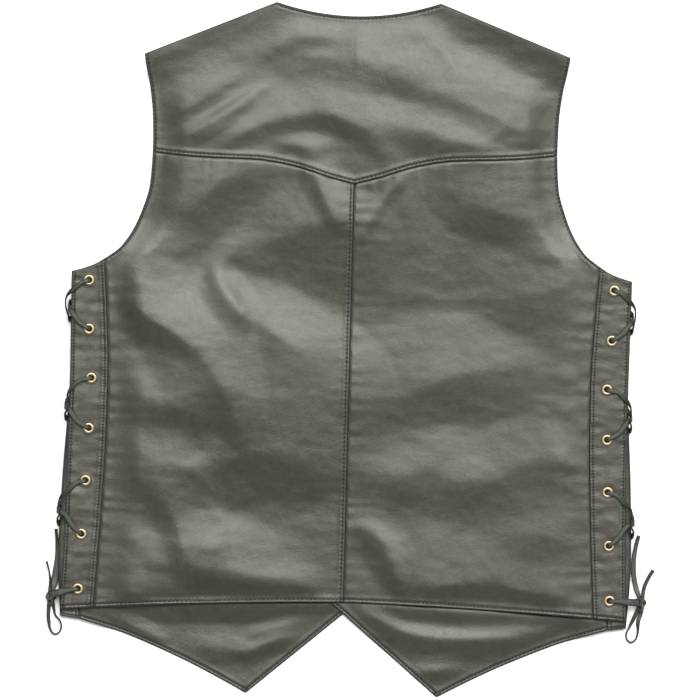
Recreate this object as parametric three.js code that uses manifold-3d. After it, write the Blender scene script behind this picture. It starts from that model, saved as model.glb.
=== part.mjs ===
import * as THREE from 'three';
import { mergeVertices } from 'three/addons/utils/BufferGeometryUtils.js';
import Module from 'manifold-3d';

// Side-laced leather vest, laid front down on a flat surface with its back facing up.
// X runs across the back, Y from the hem to the neck and Z up, in millimetres. The wearer's
// left is at -X. Sizes are stated for a symmetric vest, and lay() gives the lie of the real one.

const wasm = await Module();
wasm.setup();

// Leather and seams
const wall = 1.8;
const gap = 0.3;

// Back outline
const neckHalfWidth = 82;
const neckPointY = 347.7;
const neckDepth = 13.5;
const shoulderTip = { x: 213.15, y: 294.6 };
const backLength = { centre: 252.8, sideDrop: 13, sideX: 285, power: 1.6 };
const yokePointY = 166;

// Fronts: the left one laps under the right one as they lie
const lap = 50;
const frontEdgeTopY = 70;
const frontEdgeBottomY = -243.4;
const frontTip = { x: 95.5, y: -345.8 };

// Lacing
const eyeletHole = 2.6;
const eyeletBarrel = 3.05;
const eyeletFlange = 5.5;
const eyeletSegments = 9;
const laceRadius = 1.2;
const laceSides = 8;
const frontEyeletInset = 9.3;

// Heights of the undersides of the lacing strips above the surface
const frontStripHeight = 3.5;
const backStripHeight = 9.4;

// Lie of the vest: the right half is a little higher, most of all above the lacing, and the
// origin is under the middle
const skew = { low: 0.003, high: 0.0156 };
const middleY = 1.445;

// Outlines of the right half, each a table of x and y
const armholeUpper = [[202.4, 196.3], [202.6, 215], [203.6, 238], [206.6, 261], [210, 277], [213.15, 294.6]];
const armholeLower = [
  [248, 87.4], [244, 90], [231.4, 100.5], [218, 122], [207, 152], [203.9, 170], [202.4, 196.3],
];
const stripTop = [[248, 87.4], [256.5, 82], [269, 77], [280.4, 73.8]];
const stripSeam = [[250, -263.4], [244.6, -165], [241.8, -90], [241.5, -20], [244.5, 40], [248, 87.4]];
const sideEdge = [[283.5, -265.7], [281.5, -210], [280, -130], [279.3, -50], [279.8, 20], [280.4, 73.8]];
const yokeSeam = [
  [0, 166], [25, 172.5], [45, 179], [65, 184.5], [95, 189.3], [140, 191], [170, 192.8], [202.4, 196.3],
];
const frontHem = [[95.5, -345.8], [124, -330.6], [162, -312], [216.5, -289.4], [264.5, -275]];
const frontStripFoot = [[264.5, -275], [275, -273.6], [283.2, -272.3]];
const frontStripSeam = [[264.5, -275], [261.5, -165], [257.5, -50], [258.5, 74]];
const frontStripTop = [[258.5, 74], [270, 69.5], [279.6, 67]];
const frontSide = [[283.2, -272.3], [286.6, -212], [284.4, -130], [279.9, -50], [279.4, 20], [279.6, 67]];
const frontArmhole = [
  [258.5, 74], [240, 84], [226, 98], [212, 122], [200.5, 152], [197.5, 185], [198.5, 230],
  [204.5, 265], [212.6, 294.3],
];

// Eyelet pairs from the top down: x on the back strip, and y on both strips
const eyelets = [
  [262.7, 64.6], [261.4, 15], [258, -33.9], [259.3, -84.2], [261.2, -136.5], [263.9, -190.2], [265.9, -245.1],
].map(([x, y]) => ({ x, y }));

// The largest folds, each a table of its crest's places from left to right: x, y, reach of the
// side that faces the neck, reach of the side that faces the hem, and rise
const foldColumns = ['x', 'y', 'above', 'below', 'rise'];
const named = (folds) => folds.map((rows) => rows.map((row) => (
  Object.fromEntries(row.map((value, i) => [foldColumns[i], value]))
)));

const yokeFolds = named([
  [
    [-205, 240, 26, 8, 0], [-188, 238, 34, 10, 1.6], [-168, 242, 30, 12, 2.4], [-150, 255, 26, 12, 2.2],
    [-132, 267, 20, 10, 1.4], [-116, 277, 12, 8, 0],
  ],
  [
    [-172, 208, 12, 8, 0], [-140, 214, 18, 12, 2.4], [-108, 221, 22, 15, 3.2], [-80, 231, 26, 16, 3.4],
    [-52, 237, 26, 16, 3.6], [-25, 236, 26, 16, 3.6], [-2, 228, 24, 15, 3.2], [14, 217, 18, 13, 2.4],
    [24, 203, 12, 10, 1.2], [29, 190, 8, 8, 0],
  ],
  [
    [5, 284, 18, 12, 0], [35, 274, 30, 15, 1.5], [65, 264, 42, 18, 2.8], [100, 253, 52, 18, 3.8],
    [130, 240, 54, 18, 4], [156, 226, 50, 16, 3.2], [182, 217, 36, 14, 1.8], [205, 212, 18, 10, 0],
  ],
  [
    [10, 232, 12, 10, 0], [38, 226, 20, 14, 1.8], [65, 219, 24, 20, 3], [92, 213, 26, 20, 3.6],
    [118, 206, 24, 16, 3.2], [142, 202, 16, 12, 1.8], [162, 203, 10, 8, 0],
  ],
]);
const leftFolds = named([
  [
    [-215, 126, 90, 40, 0], [-196, 136, 140, 52, 2.6], [-165, 144, 150, 60, 4.6], [-140, 163, 130, 62, 5],
    [-115, 178, 100, 60, 4.4], [-85, 186, 30, 46, 3], [-52, 188, 20, 34, 1.6], [-28, 182, 12, 20, 0],
  ],
  [
    [-250, 76, 26, 10, 0], [-230, 53, 45, 17, 5.5], [-203, 31, 58, 25, 9], [-178, 15, 64, 32, 10.5],
    [-156, -2, 62, 44, 10.5], [-139, -22, 50, 50, 10], [-126, -46, 40, 52, 9.4], [-114, -74, 30, 42, 6.8],
    [-104, -100, 16, 26, 2.6], [-98, -116, 10, 14, 0],
  ],
  [
    [-242, -22, 24, 14, 0], [-218, -44, 42, 28, 4.4], [-196, -56, 46, 48, 6.6], [-176, -62, 40, 50, 6.6],
    [-163, -76, 22, 26, 2.8], [-154, -92, 12, 12, 0],
  ],
  [
    [-236, -98, 12, 20, 0], [-216, -109, 22, 42, 3.6], [-190, -117, 30, 60, 6.4], [-160, -120, 32, 62, 6.6],
    [-130, -118, 28, 50, 5.2], [-108, -113, 28, 40, 4.4], [-85, -107, 56, 40, 4.8], [-60, -109, 60, 38, 4.6],
    [-38, -117, 46, 28, 3], [-20, -124, 20, 14, 0],
  ],
  [
    [-202, -128, 30, 12, 0], [-182, -150, 44, 18, 3.4], [-168, -178, 46, 17, 4.8], [-159, -204, 42, 15, 4.6],
    [-153, -226, 24, 9, 0],
  ],
  [
    [-172, -196, 20, 24, 0], [-152, -203, 32, 50, 5.4], [-128, -203, 37, 64, 7.4], [-100, -205, 28, 64, 4.6],
    [-75, -207, 20, 50, 2.4], [-52, -207, 12, 30, 0],
  ],
  [
    [-130, 64, 14, 8, 0], [-114, 80, 20, 18, 1.6], [-98, 96, 26, 30, 3], [-80, 108, 32, 44, 4.4],
    [-58, 120, 38, 58, 5.4], [-36, 125, 40, 70, 6], [-14, 126, 34, 74, 5], [0, 126, 24, 66, 3.2],
    [12, 124, 12, 50, 0],
  ],
  [
    [-126, 66, 10, 12, 0], [-118, 44, 24, 20, 4.4], [-103, 30, 33, 60, 7.4], [-85, 18, 40, 120, 9.2],
    [-65, 4, 44, 160, 10], [-50, -6, 48, 160, 9.2], [-40, -9, 36, 120, 6], [-32, -11, 20, 70, 2],
    [-24, -12, 12, 40, 0],
  ],
]);
const rightFolds = named([
  [
    [-50, 215, 60, 50, 0], [5, 214, 110, 130, 4.6], [50, 214, 120, 165, 7.6], [90, 208, 120, 158, 7.4],
    [128, 200, 100, 110, 4.4], [165, 196, 60, 50, 0],
  ],
  [
    [2, -42, 24, 16, 0], [22, -50, 40, 28, 1.8], [50, -43, 62, 40, 3.6], [80, -32, 70, 42, 5],
    [105, -23, 64, 42, 5.4], [132, -18, 40, 48, 4.6], [156, -17, 30, 42, 3.2], [180, -20, 20, 24, 1.3],
    [198, -26, 10, 12, 0],
  ],
  [
    [82, 170, 24, 14, 0], [104, 157, 60, 24, 2.4], [130, 146, 90, 28, 4.2], [155, 138, 100, 30, 5],
    [182, 126, 80, 26, 4], [206, 113, 36, 18, 2.4], [228, 102, 16, 12, 0],
  ],
  [
    [126, 64, 20, 14, 0], [150, 58, 42, 30, 2], [180, 61, 44, 34, 3], [210, 67, 36, 28, 2.4],
    [238, 72, 14, 12, 0],
  ],
  [
    [2, -116, 14, 12, 0], [30, -121, 24, 20, 1.8], [60, -120, 34, 30, 3.2], [85, -118, 40, 40, 4],
    [103, -126, 48, 42, 4.6], [121, -130, 52, 42, 4.8], [146, -125, 48, 42, 4.6], [170, -113, 44, 42, 4],
    [200, -104, 34, 44, 3.4], [228, -104, 22, 32, 1.8], [246, -106, 10, 12, 0],
  ],
  [[148, -175, 26, 14, 0], [180, -179, 40, 22, 2], [212, -183, 40, 24, 2.6], [244, -187, 20, 12, 0]],
  [
    [58, -228, 50, 8, 0], [85, -233, 66, 12, 3.2], [120, -229, 64, 18, 3.6], [150, -227, 60, 18, 3.2],
    [176, -235, 50, 12, 2.6], [206, -239, 40, 10, 2.4], [238, -240, 18, 7, 0],
  ],
]);
const backFolds = [...yokeFolds, ...leftFolds, ...rightFolds];
const loft = 2;

// Folds of the front tips, which show below the back hem
const tipFolds = named([
  [[-160, -300, 12, 8, 0], [-125, -303, 16, 10, 1.6], [-100, -300, 12, 8, 0]],
  [
    [8, -256, 6, 6, 0], [30, -267, 8, 9, 2], [60, -281, 9, 14, 3.2], [100, -287, 10, 17, 4],
    [145, -286, 10, 16, 3.6], [185, -281, 8, 11, 2.2], [214, -275, 6, 6, 0],
  ],
]);

// How far a fold's crest and foot are rounded
const foldSoftness = 5;

// Each side's lace: how far it bows out past the edge between each two eyelets, then its knot,
// loop and tails, all on the surface: x, y and z of the right side, and of the left side before
// it is mirrored
const laceEnds = {
  left: {
    bows: [5.5, 2, 6.8],
    knot: [292.8, -253.2, 4.2],
    fromBack: [[291.35, -251.7, 8.6], [286.5, -249.5, 12.9], [278, -247.3, 13.4]],
    toFront: [[282.5, -249, 1.32], [288.5, -251.6, 1.4]],
    loop: [
      [291.3, -257.5, 2.9], [289.8, -264, 1.5], [288, -272, 1.3], [283.4, -277, 1.3], [281.6, -283.5, 1.3],
      [283.8, -289.3, 1.3], [288.2, -291, 1.3], [292.2, -286.8, 1.3], [294.3, -278, 1.3], [294.9, -268, 1.5],
      [294.2, -257.8, 3],
    ],
    shortTail: [[293.75, -248.6, 3.4], [293.7, -238, 1.6], [295.3, -228, 1.3], [297.9, -218.2, 1.3]],
    longTail: [
      [290.85, -248.6, 3.5], [289.4, -237, 1.6], [288, -226, 1.3], [286.9, -214, 1.3], [287.4, -202, 1.3],
      [288.6, -193, 1.3], [289.5, -185.6, 1.3],
    ],
  },
  right: {
    bows: [4.4, 3.2, 6],
    knot: [297.5, -245.8, 4.2],
    fromBack: [[295, -246, 8.2], [288.5, -245.8, 12.6], [279, -245.4, 13.4]],
    toFront: [[284, -245.3, 1.32], [293.1, -245.7, 1.55]],
    loop: [
      [299, -250.6, 2.9], [297.6, -258, 1.5], [295.4, -265, 1.3], [295.2, -276, 1.3], [293, -283.4, 1.3],
      [288.6, -286, 1.3], [284.6, -283, 1.3], [283.8, -277.4, 1.3], [286.4, -272, 1.3], [290, -264, 1.3],
      [293.3, -257, 1.5], [296, -250.2, 2.9],
    ],
    shortTail: [[299.15, -241.3, 3.4], [300.6, -231, 1.6], [304.2, -222, 1.3], [309.2, -213.3, 1.3]],
    longTail: [
      [296.1, -241.3, 3.5], [292.4, -231, 1.6], [289.9, -219, 1.3], [289.5, -204, 1.3], [291.2, -190, 1.3],
      [294, -179, 1.3],
    ],
  },
};
const knotRadii = { x: 4.6, y: 4.6, z: 3.8 };

const leather = new THREE.MeshStandardMaterial({ color: 0x4e4f49, roughness: 0.42, metalness: 0 });
const brass = new THREE.MeshStandardMaterial({ color: 0xcbb783, roughness: 0.32, metalness: 1 });
const thong = new THREE.MeshStandardMaterial({ color: 0x4a5549, roughness: 0.65, metalness: 0 });

const group = new THREE.Group();

function add(name, geometry, material) {
  const mesh = new THREE.Mesh(geometry, material);
  mesh.name = name;
  group.add(mesh);
}

// Share from 0 to 1 as value goes from low to high, eased at both ends
function rise(value, low, high) {
  return THREE.MathUtils.smoothstep(value, low, high);
}

// Place of a point of the symmetric vest as it lies
function lay(x, y) {
  return { x, y: y + x * THREE.MathUtils.lerp(skew.low, skew.high, rise(y, 20, 170)) - middleY };
}

// x of an outline table at a given y, straight between its rows
function outlineX(table, y) {
  const rows = table[0][1] < table[table.length - 1][1] ? table : [...table].reverse();
  for (let i = 1; i < rows.length; i += 1) {
    if (y <= rows[i][1]) {
      const share = (y - rows[i - 1][1]) / (rows[i][1] - rows[i - 1][1]);
      return THREE.MathUtils.lerp(rows[i - 1][0], rows[i][0], THREE.MathUtils.clamp(share, 0, 1));
    }
  }
  return rows[rows.length - 1][0];
}

function hemY(x) {
  return -(backLength.centre + backLength.sideDrop * (Math.abs(x) / backLength.sideX) ** backLength.power);
}

// Neck curve, then the straight shoulder line
function topY(x) {
  const out = Math.abs(x);
  if (out < neckHalfWidth) {
    return neckPointY - neckDepth * (1 - (out / neckHalfWidth) ** 2);
  }
  const share = (out - neckHalfWidth) / (shoulderTip.x - neckHalfWidth);
  return THREE.MathUtils.lerp(neckPointY, shoulderTip.y, share);
}

function backEdgeX(y) {
  if (y > armholeUpper[0][1]) {
    return outlineX(armholeUpper, y);
  }
  if (y > armholeLower[0][1]) {
    return outlineX(armholeLower, y);
  }
  return y > stripTop[3][1] ? outlineX(stripTop, y) : outlineX(sideEdge, y);
}

// One fold: from its crest line the rise falls off in a straight slope down to 0 at its reach,
// with its own reach on each side. The highest of its stretches counts.
function foldRise(fold, x, y) {
  const margin = 1.7 * Math.max(...fold.flatMap(({ above, below }) => [above, below]));
  return fold.slice(1).reduce((highest, end, i) => {
    const start = fold[i];
    const run = new THREE.Vector2(end.x - start.x, end.y - start.y);
    const away = new THREE.Vector2(x - start.x, y - start.y);
    const share = THREE.MathUtils.clamp(away.dot(run) / run.lengthSq(), 0, 1);
    const far = Math.hypot(away.x - share * run.x, away.y - share * run.y);
    const beside = run.cross(away) / run.length();
    const upper = 0.5 + (0.5 * beside) / Math.max(far, 1e-6);
    const at = (column) => THREE.MathUtils.lerp(start[column], end[column], share);
    const reach = THREE.MathUtils.lerp(at('below'), at('above'), upper);
    const soft = Math.min(foldSoftness, 0.4 * reach);
    const left = reach + soft - Math.hypot(far, soft);
    const height = (at('rise') * (left + Math.hypot(left, soft))) / (2 * reach);
    return Math.max(highest, height * rise(margin - far, 0, 0.3 * margin));
  }, 0);
}

function foldsRise(folds, x, y) {
  return folds.reduce((sum, fold) => sum + foldRise(fold, x, y), 0);
}

// How far a point lies beyond the left front's inner edges: its neck line, straight front
// edge and slanting foot
function beyondLeftFront(x, y) {
  const neckRun = { x: neckHalfWidth + lap / 2, y: neckPointY - frontEdgeTopY };
  const footRun = { x: frontTip.x + lap / 2, y: frontEdgeBottomY - frontTip.y };
  const out = x - lap / 2;
  const neck = (out * neckRun.y + (y - frontEdgeTopY) * neckRun.x) / Math.hypot(neckRun.x, neckRun.y);
  const foot = (out * footRun.y - (y - frontEdgeBottomY) * footRun.x) / Math.hypot(footRun.x, footRun.y);
  return Math.max(out, neck, foot);
}

// Heights of the undersides of the panels
function frontHeight(x, y) {
  const side = frontStripHeight * rise(Math.abs(x), 222, 248) * (1 - rise(y, 84, 125));
  return side + foldsRise(tipFolds, x, y);
}

function rightFrontHeight(x, y) {
  return frontHeight(x, y) + (wall + gap) * (1 - rise(beyondLeftFront(x, y), 22, 60));
}

function backHeight(x, y) {
  const lapLift = (wall + gap) * (1 - rise(beyondLeftFront(Math.abs(x), y), 46, 86));
  const shoulder = rise(Math.abs(x), 55, 105);
  const fromTop = rise(topY(x) - y, 14 * shoulder, 26 + 38 * shoulder);
  const fromEdge = fromTop * rise(backEdgeX(y) - Math.abs(x), 0, 36);
  const fromHem = 0.8 + 0.2 * rise(y - hemY(x), 0, 26);
  const folds = (loft + foldsRise(backFolds, x, y)) * fromEdge * fromHem;
  const lying = frontHeight(x, y) + wall + gap + lapLift;
  const besideStrip = 1 - rise(y, 92, 132);
  const level = THREE.MathUtils.lerp(lying, backStripHeight, rise(Math.abs(x), 130, 241) * besideStrip);
  return level + folds * (1 - rise(Math.abs(x), 205, 241) * besideStrip);
}

// A smooth curve through a table's rows, as a function of the share of its length
function through(table) {
  const curve = new THREE.SplineCurve(table.map(([x, y]) => new THREE.Vector2(x, y)));
  return (share) => curve.getPointAt(share);
}

function vectors(rows) {
  return rows.map((row) => new THREE.Vector3(...row));
}

function straight(from, to) {
  const start = new THREE.Vector2(...from);
  const end = new THREE.Vector2(...to);
  return (share) => start.clone().lerp(end, share);
}

// Two curves end to end, the first one up to the given share
function joined(first, second, at) {
  return (share) => (share < at ? first(share / at) : second((share - at) / (1 - at)));
}

// Even shares from one value to another, without the first
function shares(from, to, count) {
  return Array.from({ length: count }, (_, i) => from + ((to - from) * (i + 1)) / count);
}

// Grid of points inside four edge curves: rows run from bottom to top, each from left to right.
// Every point is the blend of the two pairs of facing edges, less the blend of the corners.
function patch(bottom, top, left, right, across, along) {
  const corners = [bottom(0), bottom(1), top(0), top(1)];
  return along.map((v) => across.map((u) => {
    const point = new THREE.Vector2();
    point.addScaledVector(bottom(u), 1 - v).addScaledVector(top(u), v);
    point.addScaledVector(left(v), 1 - u).addScaledVector(right(v), u);
    point.addScaledVector(corners[0], -(1 - u) * (1 - v)).addScaledVector(corners[1], -u * (1 - v));
    point.addScaledVector(corners[2], -(1 - u) * v).addScaledVector(corners[3], -u * v);
    return point;
  }));
}

function mirrored(grid) {
  return grid.map((row) => [...row].reverse().map((point) => new THREE.Vector2(-point.x, point.y)));
}

// Closed leather wall over a grid: its underside at height(x, y), its face straight above
function leatherWall(grid, height) {
  const rows = grid.length;
  const columns = grid[0].length;
  const positions = [];
  const faces = [];
  [0, wall].forEach((lift) => grid.flat().forEach((point) => {
    const placed = lay(point.x, point.y);
    positions.push(placed.x, placed.y, height(point.x, point.y) + lift);
  }));
  const under = (row, column) => row * columns + column;
  const over = (row, column) => rows * columns + under(row, column);
  const quad = (a, b, c, d) => faces.push(a, b, c, a, c, d);
  for (let row = 0; row < rows - 1; row += 1) {
    for (let column = 0; column < columns - 1; column += 1) {
      quad(over(row, column), over(row, column + 1), over(row + 1, column + 1), over(row + 1, column));
      quad(under(row, column), under(row + 1, column), under(row + 1, column + 1), under(row, column + 1));
    }
  }
  for (let column = 0; column < columns - 1; column += 1) {
    quad(under(0, column), under(0, column + 1), over(0, column + 1), over(0, column));
    const last = rows - 1;
    quad(under(last, column + 1), under(last, column), over(last, column), over(last, column + 1));
  }
  for (let row = 0; row < rows - 1; row += 1) {
    quad(under(row + 1, 0), under(row, 0), over(row, 0), over(row + 1, 0));
    const last = columns - 1;
    quad(under(row, last), under(row + 1, last), over(row + 1, last), over(row, last));
  }
  const geometry = new THREE.BufferGeometry();
  geometry.setAttribute('position', new THREE.Float32BufferAttribute(positions, 3));
  geometry.setIndex(faces);
  return geometry;
}

function toSolid(geometry) {
  const bare = geometry.clone();
  bare.deleteAttribute('normal');
  bare.deleteAttribute('uv');
  const merged = mergeVertices(bare);
  return new wasm.Manifold(new wasm.Mesh({
    numProp: 3,
    vertProperties: new Float32Array(merged.attributes.position.array),
    triVerts: new Uint32Array(merged.index.array),
  }));
}

function toGeometry(solid) {
  const mesh = solid.getMesh();
  const geometry = new THREE.BufferGeometry();
  geometry.setAttribute('position', new THREE.BufferAttribute(mesh.vertProperties, 3));
  geometry.setIndex(new THREE.BufferAttribute(mesh.triVerts, 1));
  return geometry;
}

// A strip with a round hole for each eyelet's barrel
function punched(geometry, centres) {
  const holeRadius = eyeletBarrel + gap + 0.05;
  return toGeometry(centres.reduce((solid, centre) => {
    const punch = new THREE.CylinderGeometry(holeRadius, holeRadius, 40, eyeletSegments);
    punch.rotateX(Math.PI / 2);
    const placed = lay(centre.x, centre.y);
    punch.translate(placed.x, placed.y, 0);
    return solid.subtract(toSolid(punch));
  }, toSolid(geometry)));
}

// Rolled brass eyelet: a barrel with a flange under and over the wall that it is set in
function eyeletGeometry() {
  const flangeUnder = wall / 2 + gap;
  const rim = flangeUnder + 0.2;
  const lip = flangeUnder + 0.5;
  const profile = [
    [eyeletHole, -lip], [eyeletFlange, -rim], [eyeletBarrel, -flangeUnder],
    [eyeletBarrel, flangeUnder], [eyeletFlange, rim], [eyeletHole, lip], [eyeletHole, -lip],
  ];
  const geometry = new THREE.LatheGeometry(profile.map(([x, y]) => new THREE.Vector2(x, y)), eyeletSegments);
  geometry.rotateX(Math.PI / 2);
  return geometry;
}

// Round tube with a step at each point of its route
function laceTube(points) {
  const section = new THREE.Shape(Array.from({ length: laceSides }, (_, i) => {
    const angle = (2 * Math.PI * i) / laceSides;
    return new THREE.Vector2(laceRadius * Math.cos(angle), laceRadius * Math.sin(angle));
  }));
  const route = new THREE.CatmullRomCurve3(points, false, 'centripetal');
  route.getPointAt = route.getPoint;
  route.getTangentAt = route.getTangent;
  return new THREE.ExtrudeGeometry(section, {
    steps: points.length - 1,
    extrudePath: route,
    bevelEnabled: false,
  });
}

// The two faces of each strip that the lace passes along, and the hole's mouths between them
const layers = {
  back: { outside: 13.4, outsideMouth: 11.7, insideMouth: 8.7, inside: 6.9 },
  front: { outside: 1.32, outsideMouth: 3.1, insideMouth: 5.8, inside: 7.5 },
};

function eyeletCentre(layer, index) {
  const { x, y } = eyelets[index];
  return { x: layer === 'back' ? x : outlineX(sideEdge, y) - frontEyeletInset, y };
}

// Lace points through one eyelet, entering from one neighbour and leaving for the next
function throughEyelet(layer, index, fromOutside, before, after) {
  const centre = eyeletCentre(layer, index);
  const heights = layers[layer];
  const side = (outside) => (outside
    ? { face: heights.outside, mouth: heights.outsideMouth }
    : { face: heights.inside, mouth: heights.insideMouth });
  const mouthPoints = (neighbour, outside) => {
    const towards = new THREE.Vector2(neighbour.x - centre.x, neighbour.y - centre.y).normalize();
    const { face, mouth } = side(outside);
    return [
      new THREE.Vector3(centre.x + 2.5 * towards.x, centre.y + 2.5 * towards.y, face),
      new THREE.Vector3(centre.x - 0.4 * towards.x, centre.y - 0.4 * towards.y, mouth),
    ];
  };
  return [...mouthPoints(before, fromOutside), ...mouthPoints(after, !fromOutside).reverse()];
}

// Lace points round the folded side, from an eyelet of the back strip to one of the front strip.
// The strand from the upper eyelet bows out past the edge and crosses over the other.
function roundTheSide(backIndex, frontIndex, bow) {
  const middle = (eyelets[backIndex].y + eyelets[frontIndex].y) / 2;
  const half = (eyelets[Math.min(backIndex, frontIndex)].y - eyelets[Math.max(backIndex, frontIndex)].y) / 2;
  const edge = outlineX(sideEdge, middle);
  const hem = Math.max(edge, outlineX(frontSide, middle) + 0.4);
  const route = backIndex < frontIndex ? [
    [edge - 10.5, 0.9, 13.4], [edge - 3.5, 0.66, 14.4], [edge + 0.75 * bow, 0.34, 15.6],
    [edge + bow, 0.02, 16], [edge + 0.8 * bow, -0.24, 16], [hem + 2.5, -0.44, 13], [hem + 2.2, -0.55, 7.5],
    [hem + 1.9, -0.59, 2.5], [hem - 2, -0.7, 1.32],
  ] : [
    [edge - 9, -0.74, 13.2], [edge - 3.8, -0.48, 13], [edge, -0.28, 12.9],
    [hem + 2.3, -0.14, 11.2], [hem + 2.2, -0.04, 7.5], [hem + 1.8, 0.04, 2.5], [hem - 2, 0.18, 1.32],
  ];
  return route.map(([x, share, z]) => new THREE.Vector3(x, middle + share * half, z));
}

// The stretch of one side's lace from the knot through all the eyelets and back to the knot
function laceRun(ends) {
  const stops = [
    ['back', 6, true], ['back', 5, false], ['front', 4, true], ['front', 3, false], ['back', 2, true],
    ['back', 1, false], ['front', 0, true], ['back', 0, false], ['front', 1, true], ['front', 2, false],
    ['back', 3, true], ['back', 4, false], ['front', 5, true], ['front', 6, false],
  ];
  const legs = stops.map(([layer, index, fromOutside], i) => {
    const next = stops[i + 1];
    if (!next) {
      return vectors(ends.toFront);
    }
    if (fromOutside || layer === next[0] || (layer === 'front' && index === next[1])) {
      return [];
    }
    const bow = ends.bows[Math.floor(Math.min(index, next[1]) / 2)];
    return layer === 'back' ? roundTheSide(index, next[1], bow) : roundTheSide(next[1], index, bow).reverse();
  });
  const points = vectors(ends.fromBack);
  stops.forEach(([layer, index, fromOutside], i) => {
    const before = points[points.length - 1];
    const after = legs[i].length > 0 ? legs[i][0] : eyeletCentre(stops[i + 1][0], stops[i + 1][1]);
    points.push(...throughEyelet(layer, index, fromOutside, before, after), ...legs[i]);
  });
  return points;
}

// Back yoke: neck and shoulders above, pointed seam below
const halfColumns = 12;
const neckColumns = 5;
const yokeTop = joined(
  (share) => new THREE.Vector2(share * neckHalfWidth, topY(share * neckHalfWidth)),
  straight([neckHalfWidth, neckPointY], [shoulderTip.x, shoulderTip.y]),
  neckColumns / halfColumns,
);
const columns = [0, ...shares(0, 1, halfColumns)];
const yokeRows = [0, ...shares(0, 1, 8)];
const yokeHalf = patch(
  through(yokeSeam),
  yokeTop,
  straight([0, yokePointY], [0, topY(0)]),
  through(armholeUpper),
  columns,
  yokeRows,
);
yokeHalf[0].forEach((point) => {
  point.y += gap / 2;
});
const yoke = mirrored(yokeHalf).map((row, i) => [...row, ...yokeHalf[i].slice(1)]);
add('back_yoke', leatherWall(yoke, backHeight), leather);

// Back panels, each from the centre seam to the lacing strip and armhole
const seamRows = 16;
const armRows = 7;
const seamShare = seamRows / (seamRows + armRows);
const panelRows = [0, ...shares(0, 1, seamRows + armRows)];
const panel = patch(
  (share) => new THREE.Vector2(share * stripSeam[0][0], hemY(share * stripSeam[0][0])),
  through(yokeSeam),
  joined(straight([0, hemY(0)], [0, 75]), straight([0, 75], [0, yokePointY]), seamShare),
  joined(through(stripSeam), through(armholeLower), seamShare),
  columns,
  panelRows,
);
panel[panel.length - 1].forEach((point) => {
  point.y -= gap / 2;
});
panel.forEach((row, i) => {
  row[0].x += gap / 2;
  if (i <= seamRows) {
    row[halfColumns].x -= gap / 2;
  }
});
add('back_left', leatherWall(mirrored(panel), backHeight), leather);
add('back_right', leatherWall(panel, backHeight), leather);

// Lacing strips of the back, with seven eyelet holes each
const stripRows = [0, ...shares(0, 1, seamRows)];
const stripColumns = [0, ...shares(0, 1, 3)];
const backStrip = patch(
  (share) => {
    const x = THREE.MathUtils.lerp(stripSeam[0][0], sideEdge[0][0], share);
    return new THREE.Vector2(x, hemY(x));
  },
  through(stripTop),
  through(stripSeam),
  through(sideEdge),
  stripColumns,
  stripRows,
);
backStrip.forEach((row) => {
  row[0].x += gap / 2;
});

// Fronts: straight lapped edge, neck line above it, pointed foot below
const tipRows = shares(0, 0.16, 8);
const frontSeamShare = 0.52;
const lowerRows = shares(0.16, frontSeamShare, 6);
const upperRows = shares(frontSeamShare, 1, 8);
const frontRows = [0, ...tipRows, ...lowerRows, ...upperRows];
const footColumns = 6;
const frontColumns = 14;
const frontPanel = patch(
  joined(
    straight([-lap / 2, frontEdgeBottomY], [frontTip.x, frontTip.y]),
    through(frontHem),
    footColumns / frontColumns,
  ),
  straight([neckHalfWidth, neckPointY], [shoulderTip.x - 0.55, shoulderTip.y - 0.3]),
  joined(
    straight([-lap / 2, frontEdgeBottomY], [-lap / 2, frontEdgeTopY]),
    straight([-lap / 2, frontEdgeTopY], [neckHalfWidth, neckPointY]),
    frontSeamShare,
  ),
  joined(through(frontStripSeam), through(frontArmhole), frontSeamShare),
  [0, ...shares(0, 1, frontColumns)],
  frontRows,
);
const frontSeamRows = 1 + tipRows.length + lowerRows.length;
frontPanel.slice(0, frontSeamRows).forEach((row) => {
  row[frontColumns].x -= gap / 2;
});
add('front_left', leatherWall(mirrored(frontPanel), frontHeight), leather);
add('front_right', leatherWall(frontPanel, rightFrontHeight), leather);

// Lacing strips of the fronts
const frontStripRows = frontRows.slice(0, frontSeamRows).map((share) => share / frontSeamShare);
const frontStrip = patch(
  through(frontStripFoot),
  through(frontStripTop),
  through(frontStripSeam),
  through(frontSide),
  [0, ...shares(0, 1, 2)],
  frontStripRows,
);
frontStrip.forEach((row) => {
  row[0].x += gap / 2;
});

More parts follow.
